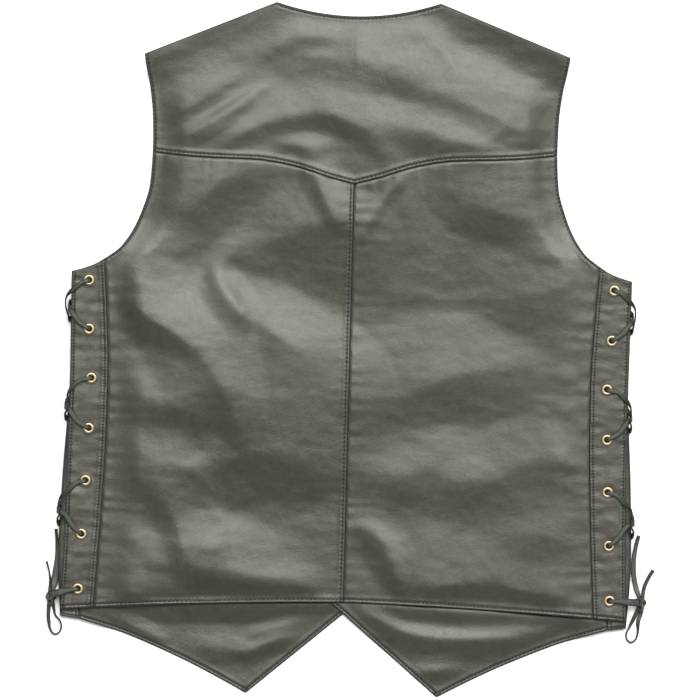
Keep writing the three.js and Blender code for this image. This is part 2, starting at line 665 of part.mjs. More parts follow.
// Each side's strips, eyelets and lace
[['left', -1], ['right', 1]].forEach(([side, sign]) => {
  const onSide = (grid) => (sign < 0 ? mirrored(grid) : grid);
  const strips = [['back', backStrip, backStripHeight], ['front', frontStrip, frontStripHeight]];
  strips.forEach(([layer, grid, height]) => {
    const centres = eyelets.map((_, index) => {
      const { x, y } = eyeletCentre(layer, index);
      return { x: sign * x, y };
    });
    const strip = leatherWall(onSide(grid), () => height);
    add(`${layer}_strip_${side}`, punched(strip, centres), leather);
    centres.forEach((centre, index) => {
      const placed = lay(centre.x, centre.y);
      const eyelet = eyeletGeometry();
      eyelet.translate(placed.x, placed.y, height + wall / 2);
      add(`eyelet_${layer}_${side}_${index + 1}`, eyelet, brass);
    });
  });
  const ends = laceEnds[side];
  const placedRoute = (points) => points.map((point) => {
    const placed = lay(sign * point.x, point.y);
    return new THREE.Vector3(placed.x, placed.y, point.z);
  });
  add(`lace_run_${side}`, laceTube(placedRoute(laceRun(ends))), thong);
  add(`lace_loop_${side}`, laceTube(placedRoute(vectors(ends.loop))), thong);
  add(`lace_tail_short_${side}`, laceTube(placedRoute(vectors(ends.shortTail))), thong);
  add(`lace_tail_long_${side}`, laceTube(placedRoute(vectors(ends.longTail))), thong);
  const knot = new THREE.SphereGeometry(1, 12, 8);
  const knotPlace = lay(sign * ends.knot[0], ends.knot[1]);
  knot.scale(knotRadii.x, knotRadii.y, knotRadii.z);
  knot.translate(knotPlace.x, knotPlace.y, ends.knot[2]);
  add(`lace_knot_${side}`, knot, thong);
});

export default group;
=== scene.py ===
"""Side-laced leather vest, laid front down on a pale floor and seen from straight above its back.

X runs across the back, Y from the hem to the neck and Z up. The wearer's left is at -X. Shapes are worked out
in millimetres, for a vest whose two halves match, and lay() gives the lie of the real one.
"""

import math

import bpy
import numpy as np
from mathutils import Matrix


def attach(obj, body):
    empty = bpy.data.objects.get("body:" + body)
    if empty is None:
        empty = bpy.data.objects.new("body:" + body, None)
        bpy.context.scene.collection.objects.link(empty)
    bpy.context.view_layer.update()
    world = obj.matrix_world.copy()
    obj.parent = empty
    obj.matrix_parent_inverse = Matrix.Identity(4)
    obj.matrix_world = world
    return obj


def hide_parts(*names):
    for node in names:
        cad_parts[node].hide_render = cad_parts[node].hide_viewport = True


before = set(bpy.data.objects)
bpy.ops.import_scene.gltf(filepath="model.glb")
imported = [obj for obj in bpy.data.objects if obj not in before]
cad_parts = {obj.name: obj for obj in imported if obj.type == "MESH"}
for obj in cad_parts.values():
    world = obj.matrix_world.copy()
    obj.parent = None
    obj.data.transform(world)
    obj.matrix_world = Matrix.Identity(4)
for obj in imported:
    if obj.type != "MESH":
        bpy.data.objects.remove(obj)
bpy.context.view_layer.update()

MM = 0.001

# Sizes that the CAD part has too, in millimetres
WALL = 1.8
GAP = 0.3
SEAM_OPENING = 0.06
NECK_HALF_WIDTH = 82
NECK_POINT_Y = 347.7
NECK_DEPTH = 13.5
SHOULDER_TIP = (213.15, 294.6)
BACK_LENGTH = 252.8
HEM_DROP = 13
HEM_DROP_X = 285
HEM_POWER = 1.6
YOKE_POINT_Y = 166
LAP = 50
FRONT_EDGE_TOP_Y = 70
FRONT_EDGE_BOTTOM_Y = -243.4
FRONT_TIP = (95.5, -345.8)
FRONT_EYELET_INSET = 9.3
FRONT_STRIP_HEIGHT = 3.5
BACK_STRIP_HEIGHT = 9.4
SKEW_LOW = 0.003
SKEW_HIGH = 0.0156
SKEW_Y = (20, 170)
MIDDLE_Y = 1.445

# How far the back lies above the fronts away from its edges, and the radius of the holes for the eyelets
LOFT = 2
HOLE_RADIUS = 3.4

# Outlines of the right half, each a table of x and y
ARMHOLE_UPPER = [[202.4, 196.3], [202.6, 215], [203.6, 238], [206.6, 261], [210, 277], [213.15, 294.6]]
ARMHOLE_LOWER = [
    [248, 87.4], [244, 90], [231.4, 100.5], [218, 122], [207, 152], [203.9, 170], [202.4, 196.3],
]
STRIP_TOP = [[248, 87.4], [256.5, 82], [269, 77], [280.4, 73.8]]
STRIP_SEAM = [[250, -263.4], [244.6, -165], [241.8, -90], [241.5, -20], [244.5, 40], [248, 87.4]]
SIDE_EDGE = [[283.5, -265.7], [281.5, -210], [280, -130], [279.3, -50], [279.8, 20], [280.4, 73.8]]
YOKE_SEAM = [
    [0, 166], [25, 172.5], [45, 179], [65, 184.5], [95, 189.3], [140, 191], [170, 192.8], [202.4, 196.3],
]
FRONT_HEM = [[95.5, -345.8], [124, -330.6], [162, -312], [216.5, -289.4], [264.5, -275]]
FRONT_STRIP_FOOT = [[264.5, -275], [275, -273.6], [283.2, -272.3]]
FRONT_STRIP_SEAM = [[264.5, -275], [261.5, -165], [257.5, -50], [258.5, 74]]
FRONT_STRIP_TOP = [[258.5, 74], [270, 69.5], [279.6, 67]]
FRONT_SIDE = [[283.2, -272.3], [286.6, -212], [284.4, -130], [279.9, -50], [279.4, 20], [279.6, 67]]
FRONT_ARMHOLE = [
    [258.5, 74], [240, 84], [226, 98], [212, 122], [200.5, 152], [197.5, 185], [198.5, 230],
    [204.5, 265], [212.6, 294.3],
]

# Eyelet pairs from the top down: x on the back strip, and y on both strips
EYELETS = np.array([
    [262.7, 64.6], [261.4, 15], [258, -33.9], [259.3, -84.2], [261.2, -136.5], [263.9, -190.2],
    [265.9, -245.1],
])

# Folds of the back, each a table of places along its crest: x, y, the reach on the left of its way, which is
# mostly towards the neck, the reach on its right, and the rise
YOKE_FOLDS = [
    [
        [-80, 292, 20, 12, 0], [-35, 290, 24, 24, 1.8], [15, 288, 24, 24, 2.4], [50, 281, 20, 18, 1.6],
        [78, 270, 14, 10, 0],
    ],
    [
        [-184, 208, 6, 8, 0], [-162, 218, 8, 10, 2], [-140, 231, 8, 11, 2.4], [-118, 244, 8, 10, 2],
        [-98, 258, 7, 8, 1.2], [-82, 266, 6, 6, 0],
    ],
    [
        [-205, 240, 26, 8, 0], [-188, 238, 34, 10, 1.6], [-168, 242, 30, 12, 2.4], [-150, 255, 26, 12, 2.2],
        [-132, 267, 20, 10, 1.4], [-116, 277, 12, 8, 0],
    ],
    [
        [-172, 208, 12, 8, 0], [-140, 214, 18, 12, 2.4], [-108, 221, 22, 15, 3.2], [-80, 231, 26, 16, 3.4],
        [-52, 237, 26, 16, 3.6], [-25, 236, 26, 16, 3.6], [-2, 228, 24, 15, 3.2], [14, 217, 18, 13, 2.4],
        [24, 203, 12, 10, 1.2], [29, 190, 8, 8, 0],
    ],
    [[-84, 208, 6, 7, 0], [-62, 205, 9, 8, 1.8], [-42, 203, 9, 9, 2], [-22, 205, 7, 8, 0]],
    [
        [5, 284, 18, 12, 0], [35, 274, 30, 15, 1.5], [65, 264, 42, 18, 2.8], [100, 253, 52, 18, 3.8],
        [130, 240, 54, 18, 4], [156, 226, 50, 16, 3.2], [182, 217, 36, 14, 1.8], [205, 212, 18, 10, 0],
    ],
    [
        [10, 232, 12, 10, 0], [38, 226, 20, 14, 1.8], [65, 219, 24, 20, 3], [92, 213, 26, 20, 3.6],
        [118, 206, 24, 16, 3.2], [142, 202, 16, 12, 1.8], [162, 203, 10, 8, 0],
    ],
    [
        [-172, 262, 14, 8, 0], [-150, 282, 22, 10, 1.1], [-120, 294, 22, 10, 1.1], [-90, 302, 20, 10, 1.3],
        [-55, 313, 18, 10, 1.5], [-20, 321, 14, 10, 1.4], [12, 324, 10, 9, 0.9], [38, 325, 7, 7, 0],
    ],
]
LEFT_FOLDS = [
    [
        [-176, 132, 20, 14, 0], [-156, 148, 50, 26, 1.8], [-136, 168, 50, 28, 2.2],
        [-112, 181, 40, 26, 1.7], [-88, 188, 16, 16, 0],
    ],
    [
        [-215, 126, 90, 40, 0], [-196, 136, 140, 52, 2.6], [-165, 144, 150, 60, 4.6], [-140, 163, 130, 62, 5],
        [-115, 178, 100, 60, 4.4], [-85, 186, 30, 46, 3], [-52, 188, 20, 34, 1.6], [-28, 182, 12, 20, 0],
    ],
    [
        [-250, 76, 26, 10, 0], [-230, 53, 45, 17, 5.5], [-203, 31, 58, 25, 9], [-178, 15, 64, 32, 10.5],
        [-156, -2, 62, 44, 10.5], [-139, -22, 50, 50, 10], [-126, -46, 40, 52, 9.4], [-114, -74, 30, 42, 6.8],
        [-104, -100, 16, 26, 2.6], [-98, -116, 10, 14, 0],
    ],
    [
        [-242, -22, 24, 14, 0], [-218, -44, 42, 28, 4.4], [-196, -56, 46, 48, 6.6], [-176, -62, 40, 50, 6.6],
        [-163, -76, 22, 26, 2.8], [-154, -92, 12, 12, 0],
    ],
    [
        [-236, -98, 12, 20, 0], [-216, -109, 22, 42, 3.6], [-190, -117, 30, 60, 6.4],
        [-160, -120, 32, 62, 6.6], [-130, -118, 28, 50, 5.2], [-108, -113, 28, 40, 4.4],
        [-85, -107, 56, 40, 4.8], [-60, -109, 60, 38, 4.6], [-38, -117, 46, 28, 3], [-20, -124, 20, 14, 0],
    ],
    [
        [-202, -128, 30, 12, 0], [-182, -150, 44, 18, 3.4], [-168, -178, 46, 17, 4.8],
        [-159, -204, 42, 15, 4.6], [-153, -226, 24, 9, 0],
    ],
    [
        [-172, -196, 20, 24, 0], [-152, -203, 32, 50, 5.4], [-128, -203, 37, 64, 7.4],
        [-100, -205, 28, 64, 4.6], [-75, -207, 20, 50, 2.4], [-52, -207, 12, 30, 0],
    ],
    [
        [-166, -227, 14, 8, 0], [-130, -230, 19, 12, 3.2], [-82, -234, 19, 12, 3.4], [-45, -237, 17, 10, 2.8],
        [-24, -242, 10, 6, 0],
    ],
    [
        [-130, 64, 14, 8, 0], [-114, 80, 20, 18, 1.6], [-98, 96, 26, 30, 3], [-80, 108, 32, 44, 4.4],
        [-58, 120, 38, 58, 5.4], [-36, 125, 40, 70, 6], [-14, 126, 34, 74, 5], [0, 126, 24, 66, 3.2],
        [12, 124, 12, 50, 0],
    ],
    [
        [-126, 66, 10, 12, 0], [-118, 44, 24, 20, 4.4], [-103, 30, 33, 60, 7.4], [-85, 18, 40, 120, 9.2],
        [-65, 4, 44, 160, 10], [-50, -6, 48, 160, 9.2], [-40, -9, 36, 120, 6], [-32, -11, 20, 70, 2],
        [-24, -12, 12, 40, 0],
    ],
    [
        [-144, 80, 12, 10, 0], [-135, 68, 15, 15, 3.6], [-123, 52, 16, 16, 4.6], [-111, 36, 14, 13, 3.6],
        [-103, 26, 8, 8, 0],
    ],
    [[-138, 70, 10, 7, 0], [-129, 85, 14, 10, 1.6], [-118, 98, 14, 10, 1.6], [-106, 107, 10, 7, 0]],
    [
        [-50, 192, 14, 8, 0], [-38, 174, 20, 13, 3], [-28, 153, 20, 12, 3.6], [-19, 135, 16, 10, 2.8],
        [-11, 121, 10, 8, 0],
    ],
    [
        [-140, -32, 16, 14, 0], [-112, -44, 34, 30, 1.8], [-75, -50, 44, 40, 2.4], [-38, -52, 36, 34, 1.8],
        [-8, -50, 20, 16, 0],
    ],
    [[-240, -176, 20, 10, 0], [-222, -184, 26, 12, 1.1], [-203, -197, 24, 12, 1.3], [-190, -212, 14, 8, 0]],
    [
        [-244, -240, 30, 6, 0], [-220, -246, 70, 9, 4.6], [-192, -247, 60, 9, 3.6], [-166, -246, 40, 8, 2.2],
        [-148, -246, 20, 6, 0],
    ],
    [[-246, 76, 5, 6, 0], [-232, 71, 7, 7, 1.1], [-218, 64, 7, 7, 1.1], [-206, 58, 5, 5, 0]],
]
RIGHT_FOLDS = [
    [[6, 110, 5, 6, 0], [14, 124, 5, 6, 0.8], [27, 146, 5, 6, 1], [40, 163, 5, 6, 0.9], [54, 177, 5, 5, 0]],
    [
        [-50, 215, 60, 50, 0], [5, 214, 110, 130, 4.6], [50, 214, 120, 165, 7.6], [90, 208, 120, 158, 7.4],
        [128, 200, 100, 110, 4.4], [165, 196, 60, 50, 0],
    ],
    [
        [2, -42, 24, 16, 0], [22, -50, 40, 28, 1.8], [50, -43, 62, 40, 3.6], [80, -32, 70, 42, 5],
        [105, -23, 64, 42, 5.4], [132, -18, 40, 48, 4.6], [156, -17, 30, 42, 3.2], [180, -20, 20, 24, 1.3],
        [198, -26, 10, 12, 0],
    ],
    [
        [82, 170, 24, 14, 0], [104, 157, 60, 24, 2.4], [130, 146, 90, 28, 4.2], [155, 138, 100, 30, 5],
        [182, 126, 80, 26, 4], [206, 113, 36, 18, 2.4], [228, 102, 16, 12, 0],
    ],
    [
        [126, 64, 20, 14, 0], [150, 58, 42, 30, 2], [180, 61, 44, 34, 3], [210, 67, 36, 28, 2.4],
        [238, 72, 14, 12, 0],
    ],
    [
        [2, -116, 14, 12, 0], [30, -121, 24, 20, 1.8], [60, -120, 34, 30, 3.2], [85, -118, 40, 40, 4],
        [103, -126, 48, 42, 4.6], [121, -130, 52, 42, 4.8], [146, -125, 48, 42, 4.6], [170, -113, 44, 42, 4],
        [200, -104, 34, 44, 3.4], [228, -104, 22, 32, 1.8], [246, -106, 10, 12, 0],
    ],
    [[20, -128, 18, 12, 0], [36, -133, 24, 34, 1.6], [52, -140, 24, 36, 1.8], [68, -152, 14, 18, 0]],
    [
        [-1, -180, 6, 8, 0], [14, -178, 9, 12, 1.6], [27, -182, 12, 14, 3], [38, -192, 13, 16, 3.8],
        [45, -207, 13, 16, 3.8], [51, -222, 11, 14, 3], [58, -237, 8, 10, 1.6], [64, -248, 6, 6, 0],
    ],
    [[148, -175, 26, 14, 0], [180, -179, 40, 22, 2], [212, -183, 40, 24, 2.6], [244, -187, 20, 12, 0]],
    [
        [58, -228, 50, 8, 0], [85, -233, 66, 12, 3.2], [120, -229, 64, 18, 3.6], [150, -227, 60, 18, 3.2],
        [176, -235, 50, 12, 2.6], [206, -239, 40, 10, 2.4], [238, -240, 18, 7, 0],
    ],
    [[208, -22, 8, 5, 0], [224, -24, 11, 6, 1.3], [240, -22, 9, 5, 0.6]],
    [[208, -52, 8, 5, 0], [226, -60, 12, 7, 1.5], [240, -64, 9, 5, 0.6]],
    [[205, -108, 8, 5, 0], [224, -110, 12, 7, 1.4], [240, -110, 9, 5, 0.6]],
    [[212, -132, 7, 5, 0], [230, -134, 9, 6, 1.2], [241, -134, 8, 5, 0.6]],
]
TIP_FOLDS = [
    [
        [-112, -303, 8, 6, 0], [-95, -304, 10, 8, 2.2], [-75, -295, 8, 8, 2.6], [-55, -288, 8, 8, 1.6],
        [-40, -284, 6, 6, 0],
    ],
    [[-105, -292, 5, 5, 0], [-80, -283, 6, 6, 1.2], [-55, -276, 6, 6, 1.2], [-30, -272, 5, 5, 0]],
    [[-240, -268, 6, 5, 0], [-215, -279, 8, 6, 1.3], [-192, -289, 8, 6, 1.7], [-170, -300, 6, 5, 0]],
    [[-160, -300, 12, 8, 0], [-125, -303, 16, 10, 1.6], [-100, -300, 12, 8, 0]],
    [
        [8, -256, 6, 6, 0], [30, -267, 8, 9, 2], [60, -281, 9, 14, 3.2], [100, -287, 10, 17, 4],
        [145, -286, 10, 16, 3.6], [185, -281, 8, 11, 2.2], [214, -275, 6, 6, 0],
    ],
    [[68, -322, 8, 6, 0], [88, -319, 10, 8, 1.8], [108, -316, 9, 8, 1.5], [124, -312, 6, 6, 0]],
    [
        [-275, -264, 4, 8, 0], [-200, -259, 4, 12, 2.4], [-100, -256, 4, 13, 3], [-20, -254, 4, 9, 2],
        [0, -253, 4, 6, 0],
    ],
    [
        [5, -253, 4, 6, 0], [60, -256, 4, 10, 2.4], [140, -259, 4, 13, 3], [220, -263, 4, 11, 2.4],
        [275, -268, 4, 6, 0],
    ],
]

# The shoulders' thick seams raise their edge, and the same columns say how much
SHOULDER_FOLDS = [
    [[-213, 294, 4, 26, 4], [-180, 307, 4, 34, 3.6], [-140, 324, 4, 38, 2.8], [-90, 345, 4, 30, 1.6]],
    [
        [84, 347, 4, 20, 1.4], [110, 336, 4, 26, 3.4], [150, 319, 4, 27, 4.6], [185, 304, 4, 27, 4.8],
        [212, 293, 4, 26, 4.4],
    ],
]

# Small creases of the back, in the same columns
SMALL_FOLDS = [
    [[-172, 209, 6, 8, 0.1], [-141, 228, 5, 8, 0.55], [-111, 250, 5, 8, 0.6], [-88, 266, 7, 9, 0.1]],
    [[-150, 196, 5, 8, 0.1], [-112, 214, 5, 7, 0.5], [-84, 236, 6, 8, 0.1]],
    [[-121, 110, 7, 7, 0.1], [-136, 84, 6, 8, 0.6], [-131, 62, 6, 8, 0.8], [-104, 34, 7, 9, 0.1]],
    [[-234, 88, 5, 6, 0.1], [-219, 79, 5, 7, 0.6], [-203, 66, 6, 8, 0.1]],
    [[-236, -216, 8, 6, 0.2], [-190, -218, 9, 6, 0.6], [-121, -223, 8, 6, 0.5], [-44, -232, 8, 7, 0.1]],
    [[-158, -120, 5, 6, 0.1], [-141, -134, 5, 6, 0.5], [-122, -156, 6, 7, 0.1]],
    [[-152, -138, 5, 6, 0.1], [-128, -168, 5, 7, 0.5], [-118, -190, 6, 7, 0.1]],
    [[20, -92, 6, 7, 0.1], [62, -86, 6, 7, 0.4], [118, -92, 6, 8, 0.1]],
    [[44, 60, 6, 7, 0.1], [96, 52, 6, 8, 0.45], [140, 58, 6, 8, 0.1]],
    [[120, 196, 6, 7, 0.1], [146, 222, 5, 7, 0.5], [160, 250, 6, 8, 0.1]],
]

# How far a fold's crest and foot are rounded, and how far from its crest it is worked out, in reaches
FOLD_SOFTNESS = 5
FOLD_MARGIN = 1.7

# The most that the rounding may be, as a share of the reach, and the outer share of the margin where it ends
SOFTEST_SHARE = 0.4
MARGIN_END = 0.3

# Ranges over which a height changes: distances from the centre line, values of y, and distances past the left
# front's edges
RISE_TO_STRIP = (130, 241)
FOLDS_END_BESIDE_STRIP = (205, 241)
STRIP_ENDS_Y = (92, 132)
FRONT_RISE_TO_STRIP = (222, 248)
FRONT_STRIP_ENDS_Y = (84, 125)
LAP_UNDER_FRONT = (22, 60)
LAP_UNDER_BACK = (46, 86)
SHOULDER_BEGINS = (55, 105)

# How far inside the edges the folds begin and are whole, with more added to the neck's at the shoulder, and
# the share of their height that they have at the hem
FOLDS_WHOLE_NECK = 26
FOLDS_START_SHOULDER = 14
FOLDS_MORE_SHOULDER = 38
FOLDS_WHOLE_SIDE = 36
FOLDS_WHOLE_HEM = 26
FOLDS_AT_HEM = 0.8

# Thong of the laces. Its section is a superellipse, and this power of sine and cosine says how square
THONG_WIDTH = 4.1
THONG_THICKNESS = 1.7
THONG_SQUARENESS = 0.55
THONG_SIDES = 20

# Where its dark cut edge and painted shade begin and become full across its face, and how far it is kept
# above the floor and out from the side
THONG_EDGE_AND_SHADE = (0.8, 1.9)
FLOOR_CLEARANCE = 0.05
SIDE_CLEARANCE = 0.4

# Steps of the routes, and how much wider the thong is where it crosses flat, beside its knot and along a tail
RUN_STEP = 1.3
TAIL_STEP = 0.9
CROSSING_SPREAD = 0.3
KNOT_SPREAD = 0.5
TAIL_SPREAD = {"left": 0.7, "right": 0.25}

# Distances from an eyelet or along from the knot over which those widths begin or end
CROSSING_BEGINS = (3, 9)
KNOT_SPREAD_ENDS = (8, 24)
TAIL_SPREAD_BEGINS = (2, 10)
TAIL_SPREAD_ENDS = (18, 60)

# The knot's curve is stretched by these amounts, and moved by these
KNOT_STRETCH = [1.55, 2.2, 1.05]
KNOT_SHIFT = [0, -1.5, 0]
KNOT_STEPS = 120

# Ends of each side's lace in the CAD part's places: x, y and z of the right side, and of the left side before
# it is mirrored. A fourth column says how far the thong stands on its edge, from 0 to 1
LACE_ENDS = {
    "left": {
        "bows": [5.5, 2, 6.8],
        "knot": [292.8, -253.2, 4.2],
        "from_back": [[291.35, -251.7, 8.6], [286.5, -249.5, 12.9], [278, -247.3, 13.4]],
        "to_front": [[282.5, -249, 1.32], [288.5, -251.6, 1.4]],
        "loop": [
            [291.3, -257.5, 2.9, 0.4], [289.8, -264, 1.5, 0.6], [288, -272, 1.3, 0.8],
            [283.4, -277, 1.3, 1], [281.6, -283.5, 1.3, 1], [283.8, -289.3, 1.3, 1], [288.2, -291, 1.3, 1],
            [292.2, -286.8, 1.3, 0.8], [294.3, -278, 1.3, 0.5], [294.9, -268, 1.5, 0.4],
            [294.2, -257.8, 3, 0.3],
        ],
        "short_tail": [
            [293.75, -248.6, 3.4, 0.3], [293.7, -238, 1.6, 0.7], [295.3, -228, 1.3, 1],
            [297.9, -218.2, 1.3, 0.8],
        ],
        "long_tail": [
            [290.85, -248.6, 3.5, 0.4], [289.4, -237, 1.6, 0], [288, -226, 1.3, 0], [286.9, -214, 1.3, 0],
            [287.4, -202, 1.3, 0.3], [288.6, -193, 1.3, 0.6], [289.5, -185.6, 1.3, 0.6],
        ],
    },
    "right": {
        "bows": [4.4, 3.2, 6],
        "knot": [297.5, -245.8, 4.2],
        "from_back": [[295, -246, 8.2], [288.5, -245.8, 12.6], [279, -245.4, 13.4]],
        "to_front": [[284, -245.3, 1.32], [293.1, -245.7, 1.55]],
        "loop": [
            [299, -250.6, 2.9, 0.2], [297.6, -258, 1.5, 0.1], [295.4, -265, 1.3, 0.3],
            [295.2, -276, 1.3, 0.8], [293, -283.4, 1.3, 1], [288.6, -286, 1.3, 1], [284.6, -283, 1.3, 1],
            [283.8, -277.4, 1.3, 1], [286.4, -272, 1.3, 0.8], [290, -264, 1.3, 0.4],
            [293.3, -257, 1.5, 0.2], [296, -250.2, 2.9, 0.2],
        ],
        "short_tail": [
            [299.15, -241.3, 3.4, 0.4], [300.6, -231, 1.6, 0.4], [304.2, -222, 1.3, 0.4],
            [309.2, -213.3, 1.3, 0.4],
        ],
        "long_tail": [
            [296.1, -241.3, 3.5, 0.4], [292.4, -231, 1.6, 0.1], [289.9, -219, 1.3, 0], [289.5, -204, 1.3, 0],
            [291.2, -190, 1.3, 0.2], [294, -179, 1.3, 0.5],
        ],
    },
}

# Height of a lace at the faces of each strip, and at the mouths of its eyelets
LAYERS = {
    "back": {"outside": 13.4, "outside_mouth": 11.7, "inside_mouth": 8.7, "inside": 6.9},
    "front": {"outside": 1.32, "outside_mouth": 3.1, "inside_mouth": 5.8, "inside": 7.5},
}

# How far a strand is from an eyelet's centre at those heights, towards its neighbour. At the mouth it has
# just passed the centre
AT_FACE = 2.5
AT_MOUTH = -0.4

# Eyelets in the order that a lace passes them, and whether it enters from the outside
STOPS = [
    ("back", 6, True), ("back", 5, False), ("front", 4, True), ("front", 3, False), ("back", 2, True),
    ("back", 1, False), ("front", 0, True), ("back", 0, False), ("front", 1, True), ("front", 2, False),
    ("back", 3, True), ("back", 4, False), ("front", 5, True), ("front", 6, False),
]


# Camera, lights and floor

PHOTO_ROLL = math.radians(1.5)
PHOTO_WIDTH = 0.7
CAMERA_HEIGHT = 9.0
FOCUS_HEIGHT = 0.011
SENSOR_WIDTH = 36
FILL_STRENGTH = 0.62
WINDOW = {"place": (2.5, 8.5, 12.4), "size": (15.2, 11.6), "radiance": 9.2}


def place_camera():
    """A camera straight above the vest, whose width of view at the focus height is the photo's width."""
    data = bpy.data.cameras.new("camera")
    data.sensor_width = SENSOR_WIDTH
    data.lens = SENSOR_WIDTH * (CAMERA_HEIGHT - FOCUS_HEIGHT) / PHOTO_WIDTH
    camera = bpy.data.objects.new("camera", data)
    camera.location = (0, -MIDDLE_Y * MM, CAMERA_HEIGHT)
    camera.rotation_euler = (0, 0, PHOTO_ROLL)
    bpy.context.scene.collection.objects.link(camera)
    bpy.context.scene.camera = camera


def softbox(name, place, size, radiance):
    """A rectangular light that faces straight down, whose power is its radiance times its area times pi."""
    data = bpy.data.lights.new(name, "AREA")
    data.shape = "RECTANGLE"
    data.size, data.size_y = size
    data.energy = radiance * math.pi * size[0] * size[1]
    light = bpy.data.objects.new(name, data)
    light.location = place
    bpy.context.scene.collection.objects.link(light)


def fill_light(strength):
    """Even white light from all round."""
    world = bpy.data.worlds.new("studio")
    world.use_nodes = True
    background = world.node_tree.nodes["Background"]
    background.inputs["Color"].default_value = (1, 1, 1, 1)
    background.inputs["Strength"].default_value = strength
    bpy.context.scene.world = world


place_camera()
bpy.context.scene.view_settings.view_transform = "Standard"
fill_light(FILL_STRENGTH)
softbox("window", **WINDOW)


# Materials

# Numbers of the colour sockets of a Mix node, and of the Attribute node's value
MIX_FACTOR, MIX_A, MIX_B = 0, 6, 7
MIX_RESULT = 2
ATTRIBUTE_VALUE = 2

# Colours of each material, as linear red, green, blue and 1
HIDE_DARK = (0.0115, 0.0118, 0.0072, 1)
HIDE_LIGHT = (0.0215, 0.022, 0.0142, 1)
HIDE_WARM = (0.024, 0.017, 0.011, 1)
# Near black: the hide's painted edges, and painted shade in its stitch channels and round its eyelets
HIDE_EDGE_PAINT_AND_SHADE = (0.0015, 0.0016, 0.003, 1)
LACE_DARK = (0.018, 0.0225, 0.0142, 1)
LACE_LIGHT = (0.04, 0.046, 0.031, 1)
# Near black: the thong's cut edges, and painted shade on its sides
LACE_EDGE_AND_SHADE = (0.0015, 0.002, 0.003, 1)
BRASS_DARK = (0.25, 0.195, 0.112, 1)
BRASS_LIGHT = (0.43, 0.355, 0.23, 1)
# Painted shade for an eyelet's bore and outer rim
BRASS_PAINTED_SHADE = (0.02, 0.01, 0.005, 1)
THREAD_DARK = (0.003, 0.003, 0.004, 1)
THREAD_LIGHT = (0.012, 0.012, 0.013, 1)
FLOOR_DARK = (0.9, 0.9, 0.9, 1)
FLOOR_LIGHT = (0.93, 0.93, 0.93, 1)


class Wire:
    """An output socket in a material's node tree. Sums, products and the like of wires add Math nodes."""

    def __init__(self, tree, socket):
        self.tree = tree
        self.socket = socket

    def node(self, kind, values, output=0, **settings):
        """Adds a node of any kind: its settings first, then a value or a wire for each input."""
        made = self.tree.nodes.new(kind)
        for name, value in settings.items():
            setattr(made, name, value)
        for key, value in values.items():
            if isinstance(value, Wire):
                self.tree.links.new(value.socket, made.inputs[key])
            else:
                made.inputs[key].default_value = value
        return Wire(self.tree, made.outputs[output])

    def math(self, operation, *values):
        """Adds a Math node."""
        return self.node("ShaderNodeMath", dict(enumerate(values)), operation=operation)

    def __add__(self, other):
        return self.math("ADD", self, other)

    __radd__ = __add__

    def __sub__(self, other):
        return self.math("SUBTRACT", self, other)

    def __mul__(self, other):
        return self.math("MULTIPLY", self, other)

    def noise(self, scale, detail=3, roughness=0.5):
        """Cloudy noise from 0 to 1, read at this wire's place."""
        values = {"Vector": self, "Scale": scale, "Detail": detail, "Roughness": roughness}
        return self.node("ShaderNodeTexNoise", values)

    def between(self, low, high):
        """Share from 0 to 1 as this wire goes from low to high, held at both ends."""
        return self.node("ShaderNodeMapRange", {"Value": self, "From Min": low, "From Max": high})

    def blend(self, first, second):
        """Colour from first to second as this wire goes from 0 to 1."""
        values = {MIX_FACTOR: self, MIX_A: first, MIX_B: second}
        return self.node("ShaderNodeMix", values, output=MIX_RESULT, data_type="RGBA")


def new_material(name, constants):
    """A material with its surface node's constant values set. Gives the material, its surface node, and the
    place on the piece as a wire."""
    material = bpy.data.materials.new(name)
    material.use_nodes = True
    tree = material.node_tree
    surface = tree.nodes["Principled BSDF"]
    for key, value in constants.items():
        surface.inputs[key].default_value = value
    coordinates = tree.nodes.new("ShaderNodeTexCoord")
    return material, surface, Wire(tree, coordinates.outputs["Object"])


def feed(wire, surface, key):
    """Joins a wire to an input of the surface node."""
    wire.tree.links.new(wire.socket, surface.inputs[key])


def attribute(wire, name):
    """One of the shades that make_piece() stores at each point."""
    return wire.node("ShaderNodeAttribute", {}, output=ATTRIBUTE_VALUE, attribute_name=name)


def vest_leather():
    """Dark waxed hide: cloudy tone, painted edges, painted shade in the stitch channels and painted shadow
    round the eyelets, fine grain, and puckers between the stitches.
    """
    material, surface, place = new_material(
        "vest_leather", {"Specular IOR Level": 0.62, "Specular Tint": (1, 1, 0.92, 1)}
    )
    cloud = place.noise(14, 2)
    mottle = place.noise(170, 4, 0.6)
    speck = place.noise(620, 2)
    tone = (cloud * 0.5 + mottle * 0.8 + speck * 0.3).between(0.5, 1.1)
    edge = attribute(place, "edge")
    near = attribute(place, "near")
    plain = tone.blend(HIDE_DARK, HIDE_LIGHT)
    warm = place.noise(60, 3).between(0.55, 0.8) * 0.4
    tinted = warm.blend(plain, HIDE_WARM)
    # The edge shade holds the edges' paint, and painted shade in the stitch channels and round the eyelets
    feed(edge.blend(tinted, HIDE_EDGE_PAINT_AND_SHADE), surface, "Base Color")
    feed(0.28 + mottle * 0.18 + edge * 0.35, surface, "Roughness")
    cells = place.node(
        "ShaderNodeTexVoronoi", {"Vector": place, "Scale": 900}, feature="DISTANCE_TO_EDGE"
    ).between(0, 0.25)
    puff = place.math("COSINE", attribute(place, "phase") * (2 * math.pi))
    grain = cells * 0.38 + speck * 0.4 + mottle * 1.2 - puff * near * 0.5
    bump = place.node("ShaderNodeBump", {"Strength": 0.5, "Distance": 0.0003, "Height": grain})
    feed(bump, surface, "Normal")
    return material


